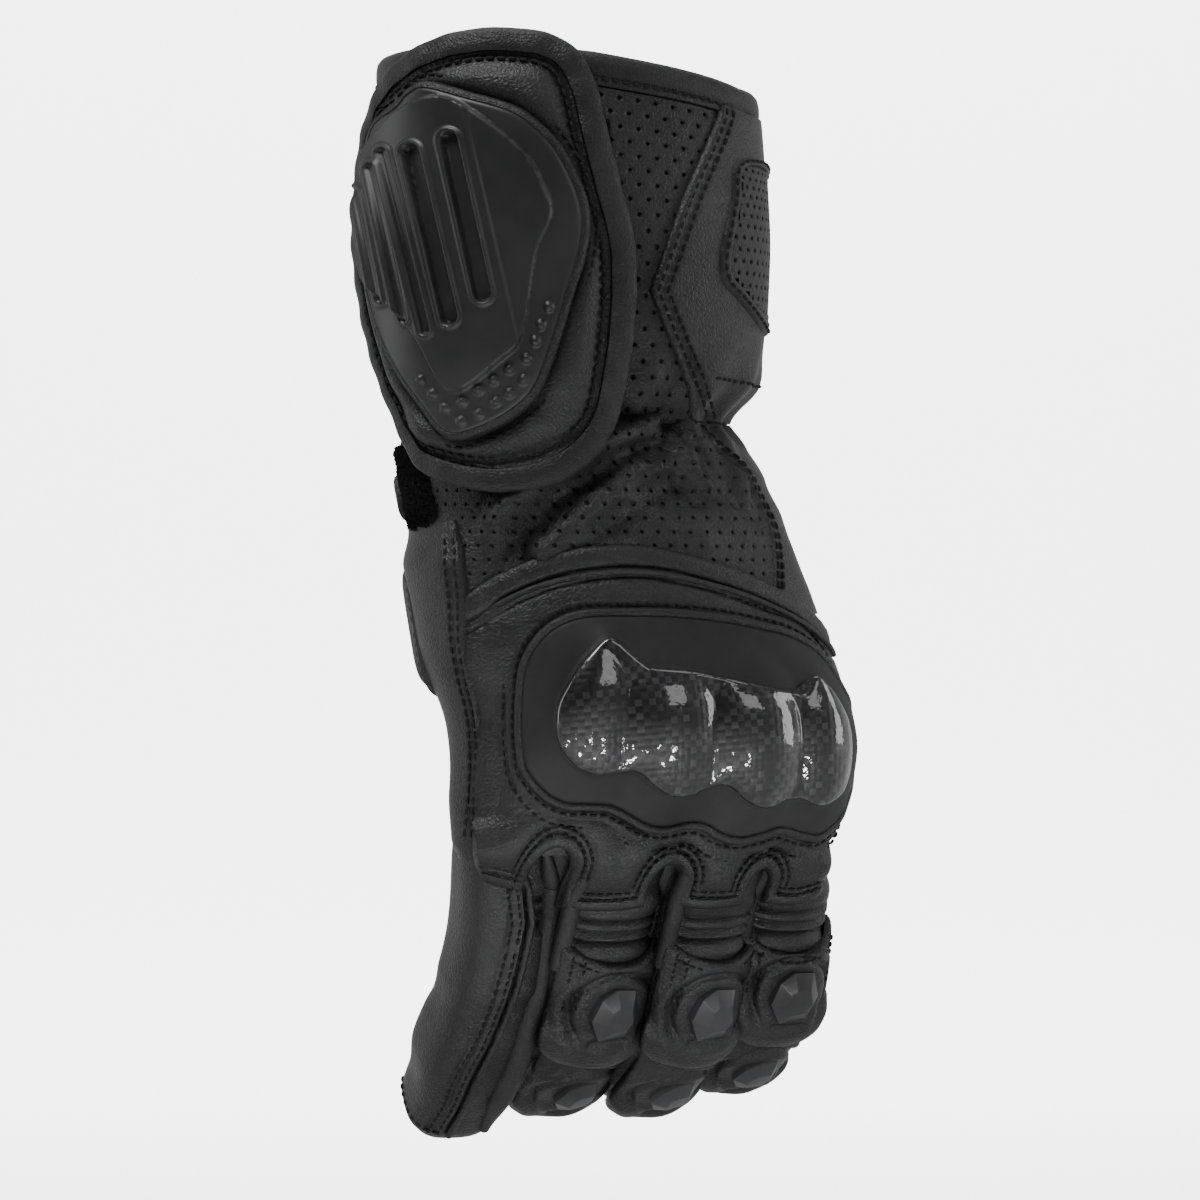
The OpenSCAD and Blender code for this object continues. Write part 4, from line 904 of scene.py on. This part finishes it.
for f in FINGERS.values():
    n, a = f.name, f.len[0]
    if n == "little":
        continue
    # first row: a cap over the finger's first length, scooped at the top and with an overhanging lip
    cols = np.linspace(-CAP_HALF, CAP_HALF, 71)
    l0 = 18.8 - 4.2 * (cols / 11.4) ** 2
    l1 = a + 2.3 - 1.7 * (cols / CAP_HALF) ** 2 - 1.5 * (cols / CAP_HALF) ** 6
    P, d = pad_grid(cols, l0, l1, 84)
    g = 0.74 * a
    h = pad_shape(P, g, l1, 1.7, 2.0)
    strip_ = np.exp(-((np.abs(P[..., 0]) - 8.6) / 0.5) ** 2) * step(P[..., 1], g + 4, g - 6)
    h = h - 0.5 * strip_ + 0.15 * noise(f(P), 7, 71) * step(np.abs(P[..., 0]), 5, 9)
    top = h * (0.25 + 0.75 * edge(d + 0.04, 1.3)) + 0.5
    low = 0.25 + 2.3 * step(P[..., 1], l1 - 7, l1 - 0.5)
    low = np.minimum(low, top - 0.35)
    ride(sheet(f"{n}_cap_pad", f(P, top), f(P, low)), n + "_proximal", n + "_cap")
    gem(f"{n}_slider_gem", f, g, 2.6, 0.98, 3.5, n + "_proximal", n + "_slider")
    lines = [xyz(k, np.linspace(17.0 - 4.2 * (k / 11.4) ** 2 + 2, g + 1, 40)) for k in (-9.9, -7.6, 9.9)]
    lines.append(xyz(cols[8:-8], l0[8:-8] + 1.9))
    ride(stitches(f"{n}_cap_stitching", [on(f, l, 2.3) for l in lines], pitch=2.2, length=1.6, r=0.33),
        n + "_proximal")
    # second row: a low pad with its own slider on the middle length
    cols = np.linspace(-PAD_HALF, PAD_HALF, 61)
    l0 = a + 4.0 - 1.5 * (cols / 10.2) ** 2
    l1 = a + f.len[1] + 1.5 - 3.0 * (cols / PAD_HALF) ** 2
    P, d = pad_grid(cols, l0, l1, 66)
    g = a + 0.62 * f.len[1]
    h = pad_shape(P, g, l1, 2.3, 1.8) - 2.0 * step(l0 + 6.5 - P[..., 1], 0, 6.5)
    top = np.maximum(h, 0.3) * edge(d + 0.04, 2.4) + 0.35
    ride(sheet(f"{n}_joint_pad", f(P, top), f(P, -0.5)), n + "_middle")
    gem(f"{n}_joint_gem", f, g, 2.7, 0.9, 3.1, n + "_middle", n + "_joint_slider")

# ---- knuckle lobes and the arches between them
def arm_y(x, z, off):
    cx, cy, a, b = (np.interp(z, ZS, c) for c in PROFILE)
    s = np.clip(np.abs((x - cx) / (a + off)), 0, 0.995)
    return cy - (b + off) * (1 - s ** ARM_ROUND) ** (1 / ARM_ROUND)
def finger_y(f, x, z, off):
    k = (f.l > -16) & (f.l < 24)
    back = f(xyz(f.turn * -G * np.ones(k.sum()), f.l[k]))
    o = np.argsort(back[:, 2])
    y = np.interp(z, back[o, 2], back[o, 1])
    s = np.clip(np.abs((x - f.c[np.argmin(abs(f.l)), 0]) / (f.w + off)), 0, 0.97)
    return y + FINGER_DEPTH * (1 - (1 - s ** ARM_ROUND) ** (1 / ARM_ROUND)) * 0.9 - 0.87 * off
# arches between the lobes: middle across, top, half width; and how much taller than round they are
TALL = 1.3
LOBE_TOP = -183
ARCHES = [(-10.2, -195.0, 4.6), (19.6, -200.0, 4.3), (44.6, -201.5, 3.8)]
def gap_half(z, k):
    _, top, half = ARCHES[k]
    rise = half * TALL
    return half * np.sqrt(np.clip(1 - (np.clip(z - (top - rise), 0, rise) / rise) ** 2, 0,
        1)) * (z < top) + 0.02
def lobe_point(f, x, z, off):
    w = step(-z, 192, 207)
    y = arm_y(x, z, off) * (1 - w) + finger_y(f, x, z, off) * w
    return xyz(x, y, z)
LOW = {"little": -207.0, "ring": -211.5, "middle": -211.5, "index": -211.5}
def lobe_edges(n, z):
    k = list(LOW).index(n)
    left = np.interp(z, [-207, -197, -186], [-24.5, -29.0, -30.3]) if k == 0 else ARCHES[k
        - 1][0] + gap_half(z, k - 1)
    right = ARCHES[k][0] - gap_half(z, k) if k < 3 else np.interp(z, [-212, -200, -186], [63.5, 64.5, 65.0])
    return left, right
BEFORE = {"ring": "little", "middle": "ring", "index": "middle"}
lobe_lines = []
for n, f in FINGERS.items():
    rows_ = np.linspace(0, 1, 110)
    cols = np.sin(np.linspace(-1, 1, 61) * math.pi / 2 * 0.92) / math.sin(math.pi / 2 * 0.92)
    z = LOBE_TOP + rows_ * (LOW[n] - LOBE_TOP)
    left, right = lobe_edges(n, z)
    mid = (left + right) / 2
    X = mid[:, None] + cols[None] * ((right - left) / 2)[:, None]
    slant = 3.0 * (1 - cols) / 2 if n == "little" else 0.9 * cols ** 2 + (1.5 if n == "index"
        else 0) * np.clip(cols, 0, 1)
    Z = z[:, None] + slant[None] * rows_[:, None] ** 3
    arch = np.full(X.shape, 99.0)
    k = list(LOW).index(n)
    for j in (k - 1, k):
        if 0 <= j < 3:
            c, top, half = ARCHES[j]
            up = xyz(X - c, np.maximum(Z - (top - half * TALL), 0) / TALL)
            arch = np.minimum(arch, np.linalg.norm(up, axis=-1) - half)
    low_d = (Z - (LOW[n] + slant[None]))
    d = np.minimum(arch, low_d)
    h = (2.2 - 1.5 * (1 - edge(d + 0.03, 0.9)) + 0.35 * hump(d, 1.3, 1.3) - 0.55 * hump(d, 2.9, 0.5) - 0.4
        * hump(d, 4.4, 0.5) + 0.9 * np.exp(-((d - 8) / 3.5) ** 2) * step(d, 4.4, 6))
    h = h + 0.22 * noise(xyz(X, Z * 1.6), 9, 81)
    th = np.arctan2(-arm_y(X, Z, 0) + np.interp(Z, ZS, PROFILE[1]), (X - np.interp(Z, ZS, PROFILE[0]))
        * np.interp(Z, ZS, PROFILE[3]) / np.interp(Z, ZS, PROFILE[2]))
    up = step(Z, -191, -186)
    if n == "index":
        h = h - 2.0 * (1 - edge(right[:, None] - X + 0.05, 4.0)) * (1 - up)
    h = h * (1 - up) + (yoke_off(xyz(np.degrees(th) * K, Z)) + 0.1 - 1.2 * step(Z, -184.4, -183)) * up
    top_p, low_p = lobe_point(f, X, Z, h), lobe_point(f, X, Z, 0.2)
    ob = sheet(f"{n}_knuckle_lobe", top_p, low_p)
    ride(ob, "hand")
    bot = xyz(X[-1], Z[-1])[4:-4]
    for k_ in (2.9, 4.4):
        q = bot + A(0, k_)
        p = lobe_point(f, q[:, 0], q[:, 1], 2.1)
        lobe_lines.append((p, unit(lobe_point(f, q[:, 0], q[:, 1], 2.6) - p)))
for (c, top, half), n in zip(ARCHES, ("ring", "middle", "index")):
    f, g = FINGERS[n], FINGERS[BEFORE[n]]
    t = np.linspace(0, math.pi, 40)
    for r in (2.9, 4.4):
        arc = xyz(c - (half + r) * np.cos(t), top - half * TALL + (half + r) * 1.22 * np.sin(t))
        leg = xyz(1.0, np.linspace(-209.5 + r, top - half * TALL, 12, endpoint=False))
        line = np.vstack([leg * A(c - half - r, 1), arc, leg[::-1] * A(c + half + r, 1)])
        for ff, pick in ((g, line[:, 0] < c), (f, line[:, 0] >= c)):
            q = line[pick]
            p = lobe_point(ff, q[:, 0], q[:, 1], 2.15)
            lobe_lines.append((p, unit(lobe_point(ff, q[:, 0], q[:, 1], 2.7) - p)))
ride(stitches("knuckle_stitching", lobe_lines, pitch=2.3, length=1.7, r=0.36), "hand")
# webs that close the hand between the finger roots
for m, n in BEFORE.items():
    f, g = FINGERS[n], FINGERS[m]
    ls = np.linspace(-10, 7, 24)
    th = np.radians(np.linspace(0, 360, 33)[:-1])
    pf, pg = (h(xyz(q, ls)) for h, q in ((f, 15.5), (g, -15.5)))
    c, half = (pf + pg) / 2, np.linalg.norm(pf - pg, axis=1) / 2 + 2.2
    c = c + A(0, 6.0, 0)
    shrink_ = np.sqrt(np.clip(1 - ((ls + 10) / 17.6) ** 6, 0, 1))
    V = c[:, None] + xyz((half * shrink_)[:, None] * np.cos(th), (9.5 * shrink_)[:, None] * np.sin(th),
        0 * shrink_[:, None] * th)
    ride(tube(f"{m}_crotch_web", V, mat="stretch"), "hand")
# folded webs between the fingers
for (c, top, half), n in zip(ARCHES, ("ring", "middle", "index")):
    f, g = FINGERS[n], FINGERS[BEFORE[n]]
    x0 = (f.c[80, 0] - f.w + g.c[80, 0] + g.w) / 2
    for s, ff in ((-1, g), (1, f)):
        l = np.linspace(-9, 22, 60)
        pts = ff(xyz(-s * 13.3, l), 0.2)
        w_ = step(l, -9, 3)[:, None]
        pts = pts * w_ + (1 - w_) * (xyz(x0 + s * 2.6, pts[:, 1] - 2.0, pts[:, 2]))
        ob = cord(f"{n}_web_{'left' if s < 0 else 'right'}", pts, 2.4, closed=False, sides=14, mat="stretch",
            nrm=np.broadcast_to(A(0, -1, -0.4), pts.shape))
        j0 = ff.c[np.argmin(abs(ff.l))]
        bend(ob, "hand", ff.name + "_proximal", tuple(j0 + A(0, -2, 6)), tuple(j0 + A(0, 4, -7)))

# ---- the little finger's smooth outer panel
f = FINGERS["little"]
PANEL_Q, PANEL_GAP = 27.5, 8.5   # how far round the panel reaches, and where it stops before the fingertip
for part, l0, l1, pa, ch, s, e in split(f):
    l0, l1 = (max(l0, -10), l1) if part != "tip" else (l0, f.end - PANEL_GAP)
    ls = np.arange(l0, l1 + 0.2, 0.6)
    ls[-1] = l1
    right_q = np.interp(ls, [-11, 2, 12, 40, 62, 90], [-5.5, 2.5, 4.2, 2.2, -0.5, -3.0])
    w = np.linspace(0, 1, 50)
    P = xyz(right_q[:, None] * (1 - w) - PANEL_Q * w, np.broadcast_to(ls[:, None], (len(ls), 50)))
    d = right_q[:, None] - P[..., 0]
    back_d = P[..., 0] + PANEL_Q
    low = (f.end - PANEL_GAP - P[..., 1]) if part == "tip" else np.full(P.shape[:-1], 9.0)
    d2 = np.minimum(np.minimum(d, back_d), low)
    h = 0.4 + 1.2 * edge(d2 + 0.05, 1.0) - 0.45 * hump(d, 2.9, 0.6) - 0.35 * hump(d, 4.6,
        0.6) + 0.3 * noise(f(P), 18, 91)
    h = h - 1.6 * step(-P[..., 1], 6.5, 10)
    bend(sheet(f"little_{part}_outer_panel", f(P, h), f(P, np.minimum(h - 0.5, 0))), pa, ch, s, e)
    lines = [xyz(right_q - k, ls) for k in (1.6, 3.8)]
    if part == "tip":
        lines.append(xyz(np.linspace(right_q[-1] - 1, -26, 30), l1 - 2.0))
    bend(stitches(f"little_{part}_panel_stitching", [on(f, l, 1.6) for l in lines], pitch=2.5, length=1.8,
        r=0.36), pa, ch, s, e)
    pts, nr = on(f, xyz(right_q + 1.4, ls), 0.9)
    bend(cord(f"little_{part}_piping", pts, 1.0, closed=False, nrm=nr, mat="matte"), pa, ch, s, e)
    thin = 3.3 * step(ls, -9, 4) * (1 - 0.6 * step(ls, f.end - 24, f.end - 8)) + 0.3
    pts, nr = on(f, xyz(right_q + 9.4 + 2.2 * step(ls, 5, 40), ls), 0.0)
    bend(cord(f"little_{part}_side_roll", pts, thin[:, None, None], closed=False, nrm=nr, sides=18,
        mat="stretch"), pa, ch, s, e)

# ---- thumb
THUMB_ROOT = 25    # how far above its first joint the thumb is measured from
class Thumb:
    """The thumb's skin: points (q across from its middle, l down from THUMB_ROOT above its first joint)."""
    def __init__(self):
        self.j = [JOINT["thumb_swing"], JOINT["thumb_tip_bend"]]
        self.d = unit(self.j[1] - self.j[0])
        self.root = self.j[0] - self.d * THUMB_ROOT
        joint = [j for j in frame["joints"] if j["name"] == "thumb_swing"][0]
        self.x = -A(*joint["axis"])
        self.y = np.cross(self.x, self.d)
        self.y = self.y / np.linalg.norm(self.y)
        self.end = ((node_points("thumb_tip") - self.root) @ self.d).max()
        inward = A(*[np.interp(self.root[2], ZS, PROFILE[k]) for k in (0, 1)], self.root[2]) - self.root
        self.inward = unit(inward - (inward @ self.d) * self.d)
    def __call__(self, P, off=0.0):
        q, l = P[..., 0], P[..., 1]
        th = np.radians(90 - q / G)
        end = np.clip((l - (self.end - 11)) / 11, 0, 0.999)
        r = np.sqrt(1 - end ** 2.2)
        flare = 5.5 * step(-l, -19, 3)
        w = (13.0 - 0.8 * step(l, 50, 62) + flare - 0.5 * hump(l, 25, 8) - 0.5 * hump(l, 56, 8)) * r
        dep = (12.0 - 1.0 * step(l, 50, 62) + flare * 0.9) * r
        cs, sn = np.cos(th), np.sin(th)
        n = rounding(cs, sn, ARM_ROUND)
        o = off * np.maximum(r, 0.3)
        return (self.root + self.d * l[..., None] + self.inward * (6.0 * step(-l, -17, 6))[..., None] + self.x
            * ((w + o) * cs / n)[..., None] - self.y * ((dep + o) * sn / n)[..., None])
T_ = Thumb()
def along(l): return [float(v) for v in T_.root + T_.d * l]
THUMB_PARTS = [("root", -6.0, 40.0, "hand", "thumb_proximal", along(19), along(31), ("thumb_socket",
    "thumb_base")), ("tip", 40.0, T_.end, "thumb_proximal", "thumb_distal", along(51), along(61),
    ("thumb_tip", "thumb_gussets"))]
def thumb_off(P):
    q, l = P[..., 0], P[..., 1]
    u = T_(P)
    near = np.clip(hump(l, 25, 12) + hump(l, 56, 10), 0, 1)
    h = 0.5 * noise(u, 9, 101) * near + 0.35 * noise(u, 18, 102)
    h = h - 0.7 * near * np.exp(-((np.mod(l, 5.0) - 2.5) / 0.9) ** 2) * step(np.abs(q), 16, 24)
    return h - 0.55 * np.exp(-((np.abs(q) - 17.5) / 0.7) ** 2) + 0.3 * np.exp(-((np.abs(q) - 16) / 0.9) ** 2)
for part, l0, l1, pa, ch, s, e, stood in THUMB_PARTS:
    ls = np.arange(l0, l1 + 0.3, 0.7)
    ls[-1] = l1
    if part == "tip":
        ls = np.concatenate([np.arange(l0, l1 - 3.5, 0.7), l1 - 3.5 * np.cos(np.linspace(0, math.pi / 2
            * 0.985, 12))])
    P = grid(LOOP, ls)
    off = thumb_off(P)
    inner = np.minimum(off - 1.0, -1.5)
    cut = slice(None, -1) if part == "tip" else slice(None)
    bend(tube(f"thumb_{part}_skin", T_(P, off), T_(P[cut], inner[cut]), cap_low=part == "tip"), pa, ch, s, e,
        *stood)
    lines = side_seams(19.2, max(l0, 6), l1 - (7 if part == "tip" else 0.5))
    bend(stitches(f"thumb_{part}_stitching", [on(T_, l, 0.1) for l in lines], pitch=2.4, length=1.7, r=0.33),
        pa, ch, s, e)
PADO = curve([(-8.5, 58), (-9.5, 68), (-7, 76), (0, 79), (7, 76), (9.5, 68), (8.5, 58), (4, 53), (-4, 53)],
    90)
def thumb_pad(P):
    d = inside(P, PADO)
    return 0.5 + 1.9 * edge(d + 0.05, 2.0) - 0.5 * hump(d, 3.4, 0.6)
ride(disk("thumb_back_pad", T_, PADO, thumb_pad, even(-0.4), rings=30, power=1.0), "thumb_distal")
ride(stitches("thumb_back_pad_stitching", hem(T_, PADO, (3.4, 1.95)), pitch=2.3, length=1.6, r=0.33),
    "thumb_distal")

# ---- palm
PALM = curve(tz((222, -154), (226, -175), (236, -184), (258, -186), (282, -184), (290, -172), (291, -160),
    (284, -152), (250, -150)), 160)
def palm_top(P):
    d = inside(P, PALM)
    return 0.9 + 1.1 * edge(d + 0.05, 1.0) - 0.4 * hump(d, 2.6, 0.6) + 0.35 * noise(arm(P), 16, 111)
ride(disk("palm_patch_leather", arm, PALM, palm_top, even(0.1), rings=40, power=1.0, mat="matte"), "hand",
    "palm_patch")
ride(stitches("palm_stitching", hem(arm, PALM, (1.6, 2.1), (4.0, 2.1))), "hand")
HEEL = curve(tz((224, -123), (230, -146), (246, -149), (266, -148), (280, -142), (296, -124), (285, -119),
    (250, -117)), 140)
def heel_top(P):
    d = inside(P, HEEL)
    return 0.8 + 1.4 * edge(d + 0.05, 1.0) + 0.9 * step(d, 3, 9) - 0.4 * hump(d, 2.6,
        0.6) + 0.3 * noise(arm(P), 16, 112)
ride(disk("palm_heel_pad", arm, HEEL, heel_top, even(0.1), rings=40, power=1.0), "hand")
ride(stitches("palm_heel_stitching", hem(arm, HEEL, (1.6, 2.3))), "hand")
# the slider puck, on the CAD puck's own axes
p = node_points("palm_slider")
mount = [m for m in frame["record"]["mounts"] if m["name"] == "palm_slider_face"][0]
up = unit(A(*mount["axis"]))
across = unit(np.cross(A(0, 0, 1), up))
along_ = np.cross(up, across)
centre = A(*mount["pos_m"]) / MM
q = p - centre
hw, hh = np.abs(q @ across).max(), np.abs(q @ along_).max()
t = np.linspace(0, 2 * math.pi, 97)[:-1]
def soft(v): return np.sign(v) * np.abs(v) ** (2 / 5)
def puck_ring(k, h):
    """The puck's outline moved in by k, at height h."""
    return centre + (soft(np.cos(t)) * (hw - k))[:, None] * across + (soft(np.sin(t)) * (hh - k))[:,
        None] * along_ + h * up
prof = [(-0.3, -6.5), (0.0, -4.6), (0, -1.4), (0.5, -0.5), (1.5, -0.05), (3.2, 0), (3.5, -0.7), (4.3, -0.8),
    (4.7, -0.1), (7, 0), (10.5, 0)]
V = np.stack([puck_ring(k, h) for k, h in prof])
ride(tube("palm_slider_puck", V, mat="gem", sharp=35), "hand", "palm_slider")
bed = np.stack([puck_ring(k, h) for k, h in ((-3.2, -7.5), (-3.2, -4.6), (-2.4, -3.9), (-1.2, -3.8),
    (0.6, -4.2), (2, -4.4))])
ride(tube("palm_slider_surround", bed, mat="matte"), "hand")
pts = puck_ring(-2.0, -3.85)
ride(stitches("palm_slider_stitching", [(np.vstack([pts, pts[:1]]), np.broadcast_to(up, (97, 3)))],
    pitch=2.4), "hand")

# ---- floor, light, camera
FLOOR_GAP = 0.07
floor_z = min(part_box(n)[0][2] for n in frame["nodes"]) - FLOOR_GAP
bm = bmesh.new()
prof = [(y, floor_z) for y in np.linspace(-1.6, 0.9, 6)] + [(0.9 + 0.6 * math.sin(a), floor_z + 0.6 - 0.6
    * math.cos(a)) for a in np.linspace(0.1, math.pi / 2, 12)] + [(1.5, 2.5)]
rows_ = []
turn = math.atan2(EYE[0], EYE[1])
for y, z in prof:
    rows_.append([bm.verts.new((x * math.cos(turn) + y * math.sin(turn), -x * math.sin(turn) + y
        * math.cos(turn), z)) for x in (-3, 3)])
for a_, b_ in zip(rows_[:-1], rows_[1:]):
    bm.faces.new((a_[0], a_[1], b_[1], b_[0]))
me = bpy.data.meshes.new("floor")
bm.to_mesh(me)
bm.free()
me.shade_smooth()
floor = add_object("floor", me)
fm = bpy.data.materials.new("pale floor")
fm.use_nodes = True
add, link, math_ = node_kit(fm.node_tree)
pb = fm.node_tree.nodes["Principled BSDF"]
values(pb, Base_Color=(0.9, 0.9, 0.9, 1), Roughness=0.9, Emission_Color=(1, 1, 1, 1))
# it glows more towards the back, and is dimmed in the leather's reflections
dot = add("ShaderNodeVectorMath")
dot.operation = "DOT_PRODUCT"
dot.inputs[1].default_value = tuple(EYE)
link(add("ShaderNodeNewGeometry").outputs["Position"], dot.inputs[0])
glow = add("ShaderNodeMapRange")
values(glow, From_Min=-0.2, From_Max=0.7, To_Min=0.3, To_Max=3.2)
link(dot.outputs["Value"], glow.inputs["Value"])
glossy = add("ShaderNodeLightPath").outputs["Is Glossy Ray"]
link(math_("MULTIPLY", glow.outputs["Result"], math_("MULTIPLY_ADD", glossy, -0.92, 1.0)),
    pb.inputs["Emission Strength"])
tone = add("ShaderNodeMix")
tone.data_type = "RGBA"
values(tone, A=(0.9, 0.9, 0.9, 1), B=(0.2, 0.2, 0.2, 1))
link(glossy, tone.inputs["Factor"])
link(tone.outputs["Result"], pb.inputs["Base Color"])
me.materials.append(fm)
world = bpy.data.worlds.new("studio")
bpy.context.scene.world = world
world.use_nodes = True
add, link, math_ = node_kit(world.node_tree)
sky = world.node_tree.nodes["Background"]
sky.inputs["Color"].default_value = (1, 1, 1, 1)
seen_ray = add("ShaderNodeLightPath").outputs["Is Camera Ray"]
link(math_("MULTIPLY_ADD", seen_ray, 1.35, 0.04), sky.inputs["Strength"])
def stand(ob, where, look):
    """Put a lamp or the camera at a point, facing along look."""
    ob.location = where
    ob.rotation_euler = look.to_track_quat("-Z", "Y").to_euler()
    return ob
def lamp(name, where, size, power, size_y=None, aim=(0.008, -0.01, -0.135)):
    l = bpy.data.lights.new(name, "AREA")
    l.shape, l.size, l.size_y, l.energy = "RECTANGLE", size, size_y or size, power
    stand(add_object(name, l), where, Vector(aim) - Vector(where))
def place(right, back, up_): return tuple(float(v) for v in (A(0.008, -0.003, -0.135) + RIGHT * right - EYE
        * back + A(0, 0, up_)))
lamp("key", place(-0.35, 0.55, 0.95), 0.6, 15, 0.35)
lamp("fill", place(0.8, 0.8, 0.35), 0.5, 3)
lamp("left side", place(-1.0, 0.0, 0.1), 0.3, 4.5, 0.9)
lamp("right side", place(1.0, -0.1, 0.1), 0.3, 5, 0.9)
for k, (x, y) in enumerate(((-0.12, 0.15), (-0.07, 0.24), (-0.03, 0.13), (0.01, 0.2), (0.05, 0.12),
        (0.09, 0.24), (0.13, 0.15), (0.17, 0.2))):
    lamp(f"glint {k}", place(x, y, -0.17), 0.014, 0.055, 0.014)
lamp("backdrop", place(0, -0.4, 1.3), 1.6, 20, 1.6, aim=place(0, -1.5, -0.1))
cam = bpy.data.cameras.new("camera")
cam.lens, cam.sensor_width = 120, 36
bpy.context.scene.camera = stand(add_object("camera", cam), tuple(float(v) for v in (AIM * MM - EYE)),
    Vector(EYE))
